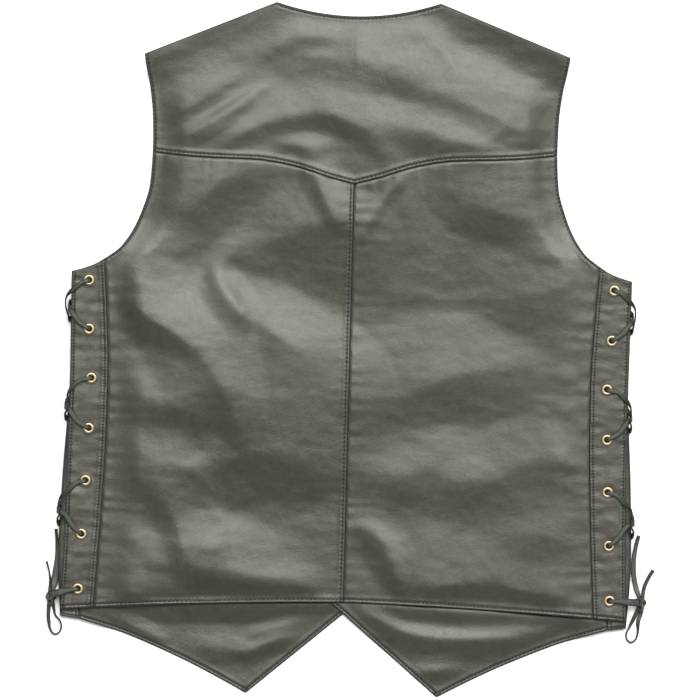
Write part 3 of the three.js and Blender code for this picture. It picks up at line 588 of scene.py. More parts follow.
def lace_leather():
    """Dark green-grey thong, nearly black towards its sides: its cut edges' own dark, and painted shade
    across its face that leaves a narrow lighter middle.
    """
    material, surface, place = new_material(
        "lace_leather", {"Specular IOR Level": 0.45, "Specular Tint": (0.92, 1, 0.92, 1)}
    )
    mottle = place.noise(300, 3)
    edge = attribute(place, "edge")
    face = mottle.blend(LACE_DARK, LACE_LIGHT)
    feed(edge.blend(face, LACE_EDGE_AND_SHADE), surface, "Base Color")
    feed(0.36 + mottle * 0.2 + edge * 0.25, surface, "Roughness")
    bump = place.node("ShaderNodeBump", {"Strength": 0.4, "Distance": 0.0002, "Height": place.noise(1500, 3)})
    feed(bump, surface, "Normal")
    return material


def eyelet_brass():
    """Worn brass, with painted shade darkening its bore and its outer rim."""
    material, surface, place = new_material("eyelet_brass", {"Metallic": 1})
    tarnish = place.noise(420, 3)
    edge = attribute(place, "edge")
    metal = tarnish.blend(BRASS_DARK, BRASS_LIGHT)
    feed(edge.blend(metal, BRASS_PAINTED_SHADE), surface, "Base Color")
    feed(0.3 + tarnish * 0.2, surface, "Roughness")
    return material


def seam_thread():
    """Black bonded thread."""
    material, surface, place = new_material("seam_thread", {"Specular IOR Level": 0.3})
    shade = place.noise(900, 2)
    feed(shade.blend(THREAD_DARK, THREAD_LIGHT), surface, "Base Color")
    feed(0.55 + shade * 0.2, surface, "Roughness")
    return material


def floor_paint():
    """Matt white paint, slightly uneven."""
    material, surface, place = new_material("floor_paint", {"Specular IOR Level": 0.1})
    shade = place.noise(3, 2)
    feed(shade.blend(FLOOR_DARK, FLOOR_LIGHT), surface, "Base Color")
    feed(0.8 + shade * 0.1, surface, "Roughness")
    return material


LEATHER = vest_leather()
THONG = lace_leather()
BRASS = eyelet_brass()
THREAD = seam_thread()


# Meshes


def make_piece(name, points, face_groups, material, slot, replaces=(), **shades):
    """A mesh from points in millimetres and arrays of faces, one array for each number of corners. Each shade
    is a value at every point that the material reads."""
    mesh = bpy.data.meshes.new(name)
    corners = np.concatenate([group.ravel() for group in face_groups])
    sizes = np.concatenate([np.full(len(group), group.shape[1]) for group in face_groups])
    mesh.vertices.add(len(points))
    mesh.vertices.foreach_set("co", (points * MM).astype(np.float32).ravel())
    mesh.loops.add(len(corners))
    mesh.loops.foreach_set("vertex_index", corners.astype(np.int32))
    mesh.polygons.add(len(sizes))
    mesh.polygons.foreach_set("loop_start", np.concatenate([[0], np.cumsum(sizes)[:-1]]).astype(np.int32))
    mesh.update(calc_edges=True)
    mesh.polygons.foreach_set("use_smooth", np.ones(len(sizes), bool))
    for shade, values in shades.items():
        layer = mesh.attributes.new(shade, "FLOAT", "POINT")
        layer.data.foreach_set("value", values.astype(np.float32).ravel())
    mesh.validate()
    mesh.materials.append(material)
    piece = bpy.data.objects.new(name, mesh)
    bpy.context.scene.collection.objects.link(piece)
    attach(piece, "root")
    if replaces:
        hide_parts(*replaces)
    return piece


def grid_faces(rows, columns, first=0):
    """Squares of a grid of points, each counter-clockwise where the rows go up and the columns go right."""
    index = first + np.arange(rows * columns).reshape(rows, columns)
    return np.stack([index[:-1, :-1], index[:-1, 1:], index[1:, 1:], index[1:, :-1]], axis=-1).reshape(-1, 4)


def tube_faces(rings, sides, closed=False):
    """Squares between rings of points, each ring with the next one, and the last with the first if closed."""
    i, j = np.meshgrid(np.arange(rings - (not closed)), np.arange(sides), indexing="ij")
    index = lambda ring, side: (ring % rings) * sides + side % sides
    squares = [index(i, j), index(i, j + 1), index(i + 1, j + 1), index(i + 1, j)]
    return np.stack(squares, axis=-1).reshape(-1, 4)


def tube_caps(rings, sides):
    """Faces over the first and the last ring of a tube."""
    return np.stack([np.arange(sides)[::-1], (rings - 1) * sides + np.arange(sides)])


def rise(value, low, high):
    """Share from 0 to 1 as value goes from low to high, eased at both ends."""
    share = np.clip((value - low) / (high - low), 0, 1)
    return share * share * (3 - 2 * share)


def unit(vectors):
    """Vectors of length 1 that point the same way."""
    return vectors / np.maximum(np.linalg.norm(vectors, axis=-1, keepdims=True), 1e-9)


def hump(distance, width):
    """1 on a line, falling off smoothly to either side over the given width."""
    return np.exp(-((distance / width) ** 2))


def lay(x, y):
    """Place of a point of the symmetric vest as it lies: the right half is a little higher."""
    return x, y + x * (SKEW_LOW + (SKEW_HIGH - SKEW_LOW) * rise(y, *SKEW_Y)) - MIDDLE_Y


# Outlines


def bend(start, end, slope_in, slope_out, share):
    """Cubic from start to end that has the given slopes there."""
    return (
        (2 * start - 2 * end + slope_in + slope_out) * share**3
        + (-3 * start + 3 * end - 2 * slope_in - slope_out) * share**2
        + slope_in * share
        + start
    )


def smooth_rows(table, steps):
    """Rows on a smooth curve through a table's rows, in all its columns: a cubic between each two rows, with
    slopes from the rows on either side."""
    rows = np.array(table, float)
    padded = np.vstack([rows[0], rows, rows[-1]])
    share = np.linspace(0, 1, steps, endpoint=False)[None, :, None]
    before, start, end, after = (padded[k : len(rows) - 1 + k, None] for k in range(4))
    slope_in, slope_out = (end - before) / 2, (after - start) / 2
    cubic = bend(start, end, slope_in, slope_out, share)
    return np.vstack([cubic.reshape(-1, rows.shape[1]), rows[-1]])


def through(table):
    """Smooth curve through an outline's table, as a function of the share of its length."""
    return along_line(smooth_rows(table, 40))


def along_line(points):
    """Curve along a row of points, as a function of the share of its length."""
    steps = np.linalg.norm(np.diff(points, axis=0), axis=1)
    at = np.concatenate([[0], np.cumsum(steps)])
    return lambda share: np.stack([np.interp(share * at[-1], at, points[:, k]) for k in range(2)], axis=-1)


def straight(start, end):
    """Straight line, as a function of the share of its length."""
    start, end = np.array(start, float), np.array(end, float)
    return lambda share: start + np.asarray(share)[..., None] * (end - start)


def joined(first, second, at):
    """Two curves end to end, the first one up to the given share."""
    def curve(share):
        before = first(np.clip(share / at, 0, 1))
        after = second(np.clip((share - at) / (1 - at), 0, 1))
        return np.where((share < at)[..., None], before, after)
    return curve


def outline_x(table, y):
    """Where an outline that runs up the vest is at the given y: straight between the rows of its table."""
    rows = np.array(sorted(table, key=lambda row: row[1]))
    return np.interp(y, rows[:, 1], rows[:, 0])


def hem_y(x):
    """The back's hem: its length at the centre, and a drop that grows as a power of the distance out."""
    return -(BACK_LENGTH + HEM_DROP * (np.abs(x) / HEM_DROP_X) ** HEM_POWER)


def hem_line(first, last):
    """The back's hem between two values of x."""
    def at(share):
        x = first + np.asarray(share) * (last - first)
        return np.stack([x, hem_y(x)], axis=-1)
    return at


def top_y(x):
    """Neck curve, then the straight shoulder line."""
    out = np.abs(x)
    neck = NECK_POINT_Y - NECK_DEPTH * (1 - (out / NECK_HALF_WIDTH) ** 2)
    share = (out - NECK_HALF_WIDTH) / (SHOULDER_TIP[0] - NECK_HALF_WIDTH)
    return np.where(out < NECK_HALF_WIDTH, neck, NECK_POINT_Y + share * (SHOULDER_TIP[1] - NECK_POINT_Y))


def neck_line(share):
    """The neck's right half, from the centre to the neck point."""
    x = np.asarray(share) * NECK_HALF_WIDTH
    return np.stack([x, top_y(x)], axis=-1)


def back_edge_x(y):
    """Outermost x of the back at the given y: the side, the strip's top, or the armhole."""
    side = np.where(y > STRIP_TOP[3][1], outline_x(STRIP_TOP, y), outline_x(SIDE_EDGE, y))
    lower = np.where(y > ARMHOLE_LOWER[0][1], outline_x(ARMHOLE_LOWER, y), side)
    return np.where(y > ARMHOLE_UPPER[0][1], outline_x(ARMHOLE_UPPER, y), lower)


# Heights


def fold_rise(fold, x, y):
    """One fold: from its crest line the rise falls off in a straight slope down to 0 at its reach, with its
    own reach on each side. Crest and foot are rounded with a hyperbola, the square root of distance squared
    plus softness squared. The rise and both reaches change smoothly along the crest."""
    rows = smooth_rows(fold, 5)
    margin = FOLD_MARGIN * rows[:, 2:4].max()
    low, high = rows[:, :2].min(axis=0) - margin, rows[:, :2].max(axis=0) + margin
    inside = (x > low[0]) & (x < high[0]) & (y > low[1]) & (y < high[1])
    near_x, near_y = x[inside], y[inside]
    highest = np.zeros(near_x.shape)
    for start, end in zip(rows[:-1], rows[1:]):
        run = end[:2] - start[:2]
        share = ((near_x - start[0]) * run[0] + (near_y - start[1]) * run[1]) / (run @ run)
        share = np.clip(share, 0, 1)
        far = np.hypot(near_x - start[0] - share * run[0], near_y - start[1] - share * run[1])
        beside = ((near_y - start[1]) * run[0] - (near_x - start[0]) * run[1]) / math.hypot(*run)
        above = 0.5 + 0.5 * beside / np.maximum(far, 1e-6)
        place = start[2:] + share[:, None] * (end - start)[2:]
        reach = place[:, 1] + above * (place[:, 0] - place[:, 1])
        soft = np.minimum(FOLD_SOFTNESS, SOFTEST_SHARE * reach)
        left = reach + soft - np.hypot(far, soft)
        height = place[:, 2] * (left + np.hypot(left, soft)) / (2 * reach)
        highest = np.maximum(highest, height * rise(margin - far, 0, MARGIN_END * margin))
    rises = np.zeros(x.shape)
    rises[inside] = highest
    return rises


def folds_rise(folds, x, y):
    """Sum of the folds' rises."""
    return sum(fold_rise(fold, x, y) for fold in folds)


def beyond_left_front(x, y):
    """How far a point lies beyond the left front's inner edges: the greatest of its distances past the lines
    of the neck, the straight front edge and the foot."""
    neck_run = (NECK_HALF_WIDTH + LAP / 2, NECK_POINT_Y - FRONT_EDGE_TOP_Y)
    foot_run = (FRONT_TIP[0] + LAP / 2, FRONT_EDGE_BOTTOM_Y - FRONT_TIP[1])
    out = x - LAP / 2
    neck = (out * neck_run[1] + (y - FRONT_EDGE_TOP_Y) * neck_run[0]) / math.hypot(*neck_run)
    foot = (out * foot_run[1] - (y - FRONT_EDGE_BOTTOM_Y) * foot_run[0]) / math.hypot(*foot_run)
    return np.maximum(np.maximum(out, neck), foot)


def front_height(x, y):
    """Underside of the left front: flat, raised at the side by the strip's height and by the tip's folds."""
    below_top = 1 - rise(y, *FRONT_STRIP_ENDS_Y)
    side = FRONT_STRIP_HEIGHT * rise(np.abs(x), *FRONT_RISE_TO_STRIP) * below_top
    return side + folds_rise(TIP_FOLDS, x, y)


def right_front_height(x, y):
    """Underside of the right front: that of the left one, and a wall and a gap above it where they lap."""
    return front_height(x, y) + (WALL + GAP) * (1 - rise(beyond_left_front(x, y), *LAP_UNDER_FRONT))


def back_height(x, y):
    """Underside of the back: on the fronts and their lap, and up to the lacing strips beside them, plus the
    folds, which fade at the edges and beside the strips."""
    out = np.abs(x)
    lap_lift = (WALL + GAP) * (1 - rise(beyond_left_front(out, y), *LAP_UNDER_BACK))
    shoulder = rise(out, *SHOULDER_BEGINS)
    top_end = FOLDS_WHOLE_NECK + FOLDS_MORE_SHOULDER * shoulder
    from_top = rise(top_y(x) - y, FOLDS_START_SHOULDER * shoulder, top_end)
    from_edge = from_top * rise(back_edge_x(y) - out, 0, FOLDS_WHOLE_SIDE)
    from_hem = FOLDS_AT_HEM + (1 - FOLDS_AT_HEM) * rise(y - hem_y(x), 0, FOLDS_WHOLE_HEM)
    folds = LOFT + folds_rise(YOKE_FOLDS + LEFT_FOLDS + RIGHT_FOLDS + SMALL_FOLDS, x, y)
    lying = front_height(x, y) + WALL + GAP + lap_lift
    beside_strip = 1 - rise(y, *STRIP_ENDS_Y)
    level = lying + (BACK_STRIP_HEIGHT - lying) * rise(out, *RISE_TO_STRIP) * beside_strip
    share = from_edge * from_hem * (1 - rise(out, *FOLDS_END_BESIDE_STRIP) * beside_strip)
    return level + folds * share + folds_rise(SHOULDER_FOLDS, x, y)


# Number of steps in a ripple, their least and greatest length in pitches, and the least height of a ripple
WAVE_STEPS = 4000
WAVE_SPACING = (0.45, 1.6)
WAVE_LEAST = 0.15

# Number of points across the lattice of soft ground
LATTICE = 512


def wave(along, pitch, seed):
    """Uneven ripple along a line: random heights at random steps, eased from each to the next."""
    random = np.random.default_rng(seed)
    knots = np.cumsum(pitch * random.uniform(*WAVE_SPACING, WAVE_STEPS))
    heights = random.uniform(WAVE_LEAST, 1, len(knots)) * np.where(np.arange(len(knots)) % 2, 1, -1)
    index = np.clip(np.searchsorted(knots, along), 1, len(knots) - 1)
    share = rise(along, knots[index - 1], knots[index])
    return heights[index - 1] + share * (heights[index] - heights[index - 1])


def undulation(x, y, size, seed):
    """Soft uneven ground from -1 to 1: random heights on a square lattice, eased between its points."""
    random = np.random.default_rng(seed)
    lattice = random.uniform(-1, 1, (LATTICE, LATTICE))
    across, up = x / size + LATTICE / 2, y / size + LATTICE / 2
    column, row = np.floor(across).astype(int), np.floor(up).astype(int)
    s, t = rise(across - column, 0, 1), rise(up - row, 0, 1)
    corner = lambda row, column: lattice[row % LATTICE, column % LATTICE]
    low = corner(row, column) * (1 - s) + corner(row, column + 1) * s
    high = corner(row + 1, column) * (1 - s) + corner(row + 1, column + 1) * s
    return low * (1 - t) + high * t


def line_of(curve, count=48):
    """Points at even shares of a curve."""
    return curve(np.linspace(0, 1, count))


EDGES = {
    "neck": line_of(neck_line),
    "shoulder": line_of(straight((NECK_HALF_WIDTH, NECK_POINT_Y), SHOULDER_TIP), 2),
    "armhole_upper": line_of(through(ARMHOLE_UPPER)),
    "armhole_lower": line_of(through(ARMHOLE_LOWER)),
    "strip_top": line_of(through(STRIP_TOP)),
    "strip_seam": line_of(through(STRIP_SEAM)),
    "side": line_of(through(SIDE_EDGE)),
    "yoke_seam": line_of(through(YOKE_SEAM)),
    "centre": np.array([[0, -BACK_LENGTH], [0, YOKE_POINT_Y]], float),
    "hem": line_of(hem_line(0, SIDE_EDGE[0][0])),
    "foot": np.array([[-LAP / 2, FRONT_EDGE_BOTTOM_Y], FRONT_TIP], float),
    "front_hem": line_of(through(FRONT_HEM)),
    "front_strip_seam": line_of(through(FRONT_STRIP_SEAM)),
    "front_strip_foot": line_of(through(FRONT_STRIP_FOOT)),
    "front_strip_top": line_of(through(FRONT_STRIP_TOP)),
    "front_side": line_of(through(FRONT_SIDE)),
    "front_armhole": line_of(through(FRONT_ARMHOLE)),
}


def measure(edge, x, y):
    """Distance of each point from an edge, and how far along it the nearest place is: the least over its
    straight stretches."""
    line = EDGES[edge]
    best = np.full(x.shape, np.inf)
    along = np.zeros(x.shape)
    passed = 0.0
    for start, end in zip(line[:-1], line[1:]):
        run = end - start
        length = math.hypot(*run)
        share = np.clip(((x - start[0]) * run[0] + (y - start[1]) * run[1]) / length**2, 0, 1)
        far = np.hypot(x - start[0] - share * run[0], y - start[1] - share * run[1])
        along = np.where(far < best, passed + share * length, along)
        best = np.minimum(best, far)
        passed += length
    return best, along


# What the leather does at each kind of edge: how far its rim rolls down and how wide its dark paint is, the
# place and step of its stitch row, how far it stands up or dips at a seam, and the height, step and reach of
# its puckers
FINISH_COLUMNS = ("roll", "paint", "stitch", "step", "lift", "pucker", "pitch", "reach")
FINISH_ROWS = {
    "turned": (1, 2.2, 2, 4, 0, 0.14, 5, 7),
    "neck": (1, 2.2, 2.8, 4, 0, 0.18, 6, 8),
    "side": (1, 2.3, 3.1, 3.4, 0, 0.42, 6, 9),
    "shoulder": (1, 1.9, None, None, 0, 0.1, 7, 9),
    "hem": (1, 1.5, 3.3, 4.3, 0, 0.38, 6, 9),
    "foot": (1, 2, 3.2, 4, 0, 0.25, 6, 9),
    "over": (0.6, 1.3, 3.2, 4.2, 0.5, 0.25, 6, 9),
    "strip": (0.6, 1.3, 3.5, 3.2, 0.5, 0.45, 6, 10),
    "under": (0, 1.2, None, None, -0.8, 0.42, 8, 15),
    # The dark finish's wide band on the front strip's side is partly the edge's own paint and partly painted
    # shadow under the back strip's edge
    "dark": (1, 3.8, None, None, 0, 0.1, 6, 6),
    "plain": (1, 1.9, None, None, 0, 0.06, 6, 6),
}
FINISHES = {name: dict(zip(FINISH_COLUMNS, row)) for name, row in FINISH_ROWS.items()}

# Width of a rim, and how deep it rolls as a share of the wall
RIM_WIDTH = 1.6
ROLL_DEPTH = 0.7

# Swells and channel beside a stitch row: each one's distance from the row, width and height
CHANNEL = ((2.2, 1.4, 0.26), (-1.7, 0.9, 0.14), (0, 0.8, -0.34))

# Where the upper leather comes down from a seam, and how wide the lower one's dip is
SEAM_STEP = (3, 9)
SEAM_DIP = 1.8

# Where puckers begin. Their reach changes along an edge: by how much, in how many pitches, and with what
# shift of the seed
PUCKER_START = (0.3, 3)
REACH_CHANGE = 0.6
REACH_PITCHES = 3
REACH_SEED = 50

# The share of an edge's paint that is full, the stitch channel's painted shade and its width, and what is
# near a stitch
PAINT_CORE = 0.45
CHANNEL_PAINTED_SHADE = 0.45
CHANNEL_DARK = (0.3, 1.5)
NEAR_STITCHES = (0.5, 3)

# The leather round an eyelet: where it is calm, its dent's depth, place and width, and the painted shadow
# round the eyelet and where it fades
CALM_TO_ROUGH = (5, 9)
DENT_DEPTH, DENT_PLACE, DENT_WIDTH = 0.3, 6.6, 1.3
EYELET_PAINTED_SHADOW = 0.85
EYELET_SHADOW_ENDS = (5.4, 7.2)

# Distance from the rim at which the hide is as uneven as it gets
GROUND_WHOLE = 10


def edge_relief(facts, distance, along, seed):
    """Relief of the face near one edge: a quarter round rim, a channel for the stitches with a swell on both
    sides of it, a step at a seam, and ripples square to the edge that fade away from it."""
    rim = 1 - np.clip(distance / RIM_WIDTH, 0, 1)
    relief = -ROLL_DEPTH * WALL * facts["roll"] * (1 - np.sqrt(1 - rim**2))
    if facts["stitch"] is not None:
        inside = distance - facts["stitch"]
        relief += sum(height * hump(inside - place, width) for place, width, height in CHANNEL)
    if facts["lift"] > 0:
        relief += facts["lift"] * (1 - rise(distance, *SEAM_STEP))
    else:
        relief += facts["lift"] * hump(distance, SEAM_DIP)
    change = REACH_CHANGE * wave(along, REACH_PITCHES * facts["pitch"], seed + REACH_SEED)
    reach = facts["reach"] * (1 + change)
    fade = np.exp(-distance / reach) * rise(distance, *PUCKER_START)
    return relief + facts["pucker"] * wave(along, facts["pitch"], seed) * fade


def hide(x, y):
    """The hide's own unevenness: three sizes of soft ground, and slight creases that run across the vest."""
    return (
        0.3 * undulation(x, y, 31, 1) + 0.14 * undulation(x + 7, y - 3, 13, 2)
        + 0.06 * undulation(y, x, 5.5, 3) + 0.11 * undulation(x + 0.3 * y, 2.3 * y, 15, 4)
    )


# Leather pieces: a grid of points inside four edge curves

SIDES = ((-1, "left"), (1, "right"))

# Each sheet's finished size as laid flat, and its area, in metres
SHEETS = {
    "yoke": ((0.43, 0.185), 0.0582),
    "panel": ((0.25, 0.45), 0.1045),
    "front": ((0.29, 0.7), 0.1527),
    "back_strip": ((0.038, 0.35), 0.0125),
    "front_strip": ((0.029, 0.345), 0.0083),
}

# Distances of the points nearest to an edge from it
CLOSE_STEPS = np.array([0, 0.3, 0.65, 1.05, 1.5, 2, 2.5, 3, 3.5, 4.1, 4.9, 6, 7.5])


def spaced(length, middle, start=True, end=True):
    """Shares of lines of the given lengths: close steps at the ends asked for, and even ones between."""
    length = np.atleast_1d(np.asarray(length, float))
    head = (CLOSE_STEPS if start else np.zeros(1))[:, None] / length
    tail = 1 - (CLOSE_STEPS[::-1] if end else np.zeros(1))[:, None] / length
    share = (np.arange(middle) + 1)[:, None] / (middle + 1)
    return np.concatenate([head, head[-1] + share * (tail[0] - head[-1]), tail])


def patch(bottom, top, left, right, across, up):
    """Points inside four edge curves: the blends of both pairs of facing edges, less that of the corners."""
    u, v = across[..., None], up[..., None]
    zero, one = np.zeros(1), np.ones(1)
    corners = [bottom(zero)[0], bottom(one)[0], top(zero)[0], top(one)[0]]
    sides = bottom(across) * (1 - v) + top(across) * v + left(up) * (1 - u) + right(up) * u
    blend = (
        corners[0] * (1 - u) * (1 - v) + corners[1] * u * (1 - v)
        + corners[2] * (1 - u) * v + corners[3] * u * v
    )
    grid = sides - blend
    return grid[..., 0], grid[..., 1]


def span(curve_a, curve_b, share):
    """Distance between two curves at the same share of each."""
    return np.linalg.norm(curve_b(share) - curve_a(share), axis=-1)


def sheet_grid(bottom, top, left, right, up, columns):
    """Points inside four edge curves at the given shares of the way up, with close steps at both sides."""
    across = spaced(span(left, right, up), columns).T
    return patch(bottom, top, left, right, across, np.broadcast_to(up[:, None], across.shape))


def mirrored(grid):
    """A grid of the right half on the left, its columns turned round to keep the faces' direction."""
    return tuple(sign * values[:, ::-1] for sign, values in zip((-1, 1), grid))


class Leather:
    """One piece of leather: the side it belongs to, -1 or 1, or 0 for both, the height of its underside, the
    finish of each of its edges, the eyelets in it, and how crumpled its hide is. Places are those of the
    symmetric vest."""

    def __init__(self, name, side, height, finishes, eyelets=(), crumple=1):
        self.name = name
        self.side = side
        self.height = height
        self.finishes = finishes
        self.eyelets = eyelets
        self.crumple = crumple

    def outward(self, x):
        """Distance from the centre line towards the piece's own side."""
        return np.abs(x) if self.side == 0 else self.side * x

    def face(self, x, y):
        """Height of the face, and its shades: how dark it is from an edge's paint, from painted shade in a
        stitch channel and from painted shadow round an eyelet, how near a stitch row is, and the count of
        stitches along it."""
        out = self.outward(x)
        relief = np.zeros(x.shape)
        shades = {"edge": np.zeros(x.shape), "near": np.zeros(x.shape), "phase": np.zeros(x.shape)}
        from_rim = np.full(x.shape, np.inf)
        for number, (edge, finish) in enumerate(self.finishes.items()):
            facts = FINISHES[finish]
            distance, along = measure(edge, out, y)
            relief += edge_relief(facts, distance, along + np.where(x < 0, 3000, 0), 7 * number + len(edge))
            painted = 1 - rise(distance, PAINT_CORE * facts["paint"], facts["paint"])
            shades["edge"] = np.maximum(shades["edge"], painted)
            from_rim = np.minimum(from_rim, distance)
            if facts["stitch"] is not None:
                off = np.abs(distance - facts["stitch"])
                # Painted shade along the stitch channel's groove
                channel = CHANNEL_PAINTED_SHADE * (1 - rise(off, *CHANNEL_DARK))
                shades["edge"] = np.maximum(shades["edge"], channel)
                nearer = 1 - rise(off, *NEAR_STITCHES)
                shades["phase"] = np.where(nearer > shades["near"], along / facts["step"], shades["phase"])
                shades["near"] = np.maximum(shades["near"], nearer)
        calm = np.ones(x.shape)
        for eyelet in self.eyelets:
            away = np.hypot(out - eyelet[0], y - eyelet[1])
            calm *= rise(away, *CALM_TO_ROUGH)
            relief -= DENT_DEPTH * hump(away - DENT_PLACE, DENT_WIDTH)
            # Painted shadow round the eyelet's flange
            shades["edge"] = np.maximum(shades["edge"], EYELET_PAINTED_SHADOW * (1 - rise(away, *EYELET_SHADOW_ENDS)))
        ground = self.crumple * hide(x, y) * rise(from_rim, 0, GROUND_WHOLE / self.crumple)
        return self.height(x, y) + WALL + (relief + ground) * calm, shades


def leather_piece(leather, grid, rests_on, flat, area):
    """Closed shell of leather: its underside, and its face a wall above it with the relief of its edges and
    its hide. Round holes are cut for the eyelets and walled."""
    x, y = grid
    face, shades = leather.face(x, y)
    placed_x, placed_y = lay(x, y)
    top = np.stack([placed_x, placed_y, face], axis=-1).reshape(-1, 3)
    bottom = np.stack([placed_x, placed_y, leather.height(x, y)], axis=-1).reshape(-1, 3)
    rows, columns = x.shape
    squares = grid_faces(rows, columns)
    cut = np.zeros(len(squares), bool)
    middles = np.stack([placed_x, placed_y], axis=-1).reshape(-1, 2)[squares].mean(axis=1)
    holes = [np.array(lay(leather.side * eyelet[0], eyelet[1])) for eyelet in leather.eyelets]
    for hole in holes:
        cut |= np.linalg.norm(middles - hole, axis=1) < HOLE_RADIUS
    kept = squares[~cut]
    index = np.arange(rows * columns).reshape(rows, columns)
    ring = np.concatenate([index[0, :-1], index[:-1, -1], index[-1, :0:-1], index[:0:-1, 0]])
    border = np.stack([ring, np.roll(ring, -1)], axis=-1)
    if cut.any():
        border = np.concatenate([border, hole_border(squares[cut])])
        used = np.unique(hole_border(squares[cut]))
        for points in (top, bottom):
            for hole in holes:
                away = points[used, :2] - hole
                near = np.linalg.norm(away, axis=1)
                mine = near < 2 * HOLE_RADIUS
                points[used[mine], :2] = hole + away[mine] / near[mine, None] * HOLE_RADIUS
    count = rows * columns
    walls = np.stack([border[:, 0] + count, border[:, 1] + count, border[:, 1], border[:, 0]], axis=-1)
    faces = np.concatenate([kept, kept[:, ::-1] + count, walls])
    points = np.concatenate([top, bottom])
    used, faces = np.unique(faces, return_inverse=True)
    faces = faces.reshape(-1, 4)
    under = {"edge": 1, "near": 0, "phase": 0}
    both = {
        shade: np.concatenate([values.ravel(), np.full(count, under[shade])])[used]
        for shade, values in shades.items()
    }
    piece = make_piece(leather.name, points[used], [faces], LEATHER, "leather", [leather.name], **both)
    return piece


def hole_border(faces):
    """Edges of the cut squares that only one of them has, in the direction that the kept squares have."""
    edges = np.concatenate([faces[:, [k, (k + 1) % 4]] for k in range(4)])[:, ::-1]
    _, index, counts = np.unique(np.sort(edges, axis=1), axis=0, return_index=True, return_counts=True)
    return edges[index[counts == 1]]


def seam_shift(grid, column=None, row=None, move=(0, 0)):
    """Moves one column or row of a grid, by half a seam's gap."""
    x, y = grid[0].copy(), grid[1].copy()
    place = (slice(None), column) if column is not None else (row, slice(None))
    x[place] += move[0]
    y[place] += move[1]
    return x, y


NECK_POINT = (NECK_HALF_WIDTH, NECK_POINT_Y)
BOTH_FRONTS = ["front_left", "front_right"]

NECK_SHARE = 5 / 12
YOKE_COLUMNS, YOKE_ROWS = 96, 60
YOKE_HALF_WIDTH, YOKE_HEIGHT = 208, 140
yoke_top = joined(neck_line, straight(NECK_POINT, SHOULDER_TIP), NECK_SHARE)
yoke_left = straight((0, YOKE_POINT_Y), (0, float(top_y(0))))
share_up = spaced(YOKE_HEIGHT, YOKE_ROWS)[:, 0]
share_across = spaced(YOKE_HALF_WIDTH, YOKE_COLUMNS, start=False)[:, 0]
yoke_across = spaced(span(yoke_left, through(ARMHOLE_UPPER), share_up), YOKE_COLUMNS, start=False).T
yoke_up = spaced(span(through(YOKE_SEAM), yoke_top, share_across), YOKE_ROWS)
yoke_half = patch(through(YOKE_SEAM), yoke_top, yoke_left, through(ARMHOLE_UPPER), yoke_across, yoke_up)
yoke_half = seam_shift(yoke_half, row=0, move=(0, GAP / 2))
yoke_grid = tuple(
    np.concatenate([side, half[:, 1:]], axis=1) for side, half in zip(mirrored(yoke_half), yoke_half)
)
yoke = Leather(
    "back_yoke", 0, back_height,
    {"neck": "neck", "shoulder": "shoulder", "armhole_upper": "turned", "yoke_seam": "over"},
)
leather_piece(yoke, yoke_grid, BOTH_FRONTS, *SHEETS["yoke"])

SEAM_SHARE = 16 / 23
SEAM_SHARE_Y = 75
PANEL_COLUMNS, LOWER_ROWS, UPPER_ROWS = 110, 150, 52
LOWER_LENGTH, UPPER_LENGTH = 335, 100
panel_left = joined(
    straight((0, float(hem_y(0))), (0, SEAM_SHARE_Y)), straight((0, SEAM_SHARE_Y), (0, YOKE_POINT_Y)),
    SEAM_SHARE,
)
panel_right = joined(through(STRIP_SEAM), through(ARMHOLE_LOWER), SEAM_SHARE)
panel_bottom = hem_line(0, STRIP_SEAM[0][0])
lower_up = spaced(LOWER_LENGTH, LOWER_ROWS, end=False)[:, 0] * SEAM_SHARE
upper_up = SEAM_SHARE + spaced(UPPER_LENGTH, UPPER_ROWS, start=False)[1:, 0] * (1 - SEAM_SHARE)
panel_up = np.concatenate([lower_up, upper_up])
panel_grid = sheet_grid(
    panel_bottom, through(YOKE_SEAM), panel_left, panel_right, panel_up, PANEL_COLUMNS
)
panel_grid = seam_shift(panel_grid, row=-1, move=(0, -GAP / 2))
panel_grid = seam_shift(panel_grid, column=0, move=(GAP / 2, 0))
panel_grid[0][: len(lower_up), -1] -= SEAM_OPENING / 2
panels = {
    sign: Leather(
        f"back_{side}", sign, back_height,
        {
            "hem": "hem", "yoke_seam": "under", "centre": "over" if side == "left" else "under",
            "strip_seam": "under", "armhole_lower": "turned",
        },
    )
    for sign, side in SIDES
}
leather_piece(panels[-1], mirrored(panel_grid), BOTH_FRONTS, *SHEETS["panel"])
leather_piece(panels[1], panel_grid, BOTH_FRONTS, *SHEETS["panel"])

STRIP_COLUMNS, STRIP_ROWS, STRIP_LENGTH = 14, 200, 340
strip_up = spaced(STRIP_LENGTH, STRIP_ROWS)[:, 0]
strip_grid = sheet_grid(
    hem_line(STRIP_SEAM[0][0], SIDE_EDGE[0][0]), through(STRIP_TOP), through(STRIP_SEAM), through(SIDE_EDGE),
    strip_up, STRIP_COLUMNS,
)
strip_grid = seam_shift(strip_grid, column=0, move=(SEAM_OPENING / 2, 0))

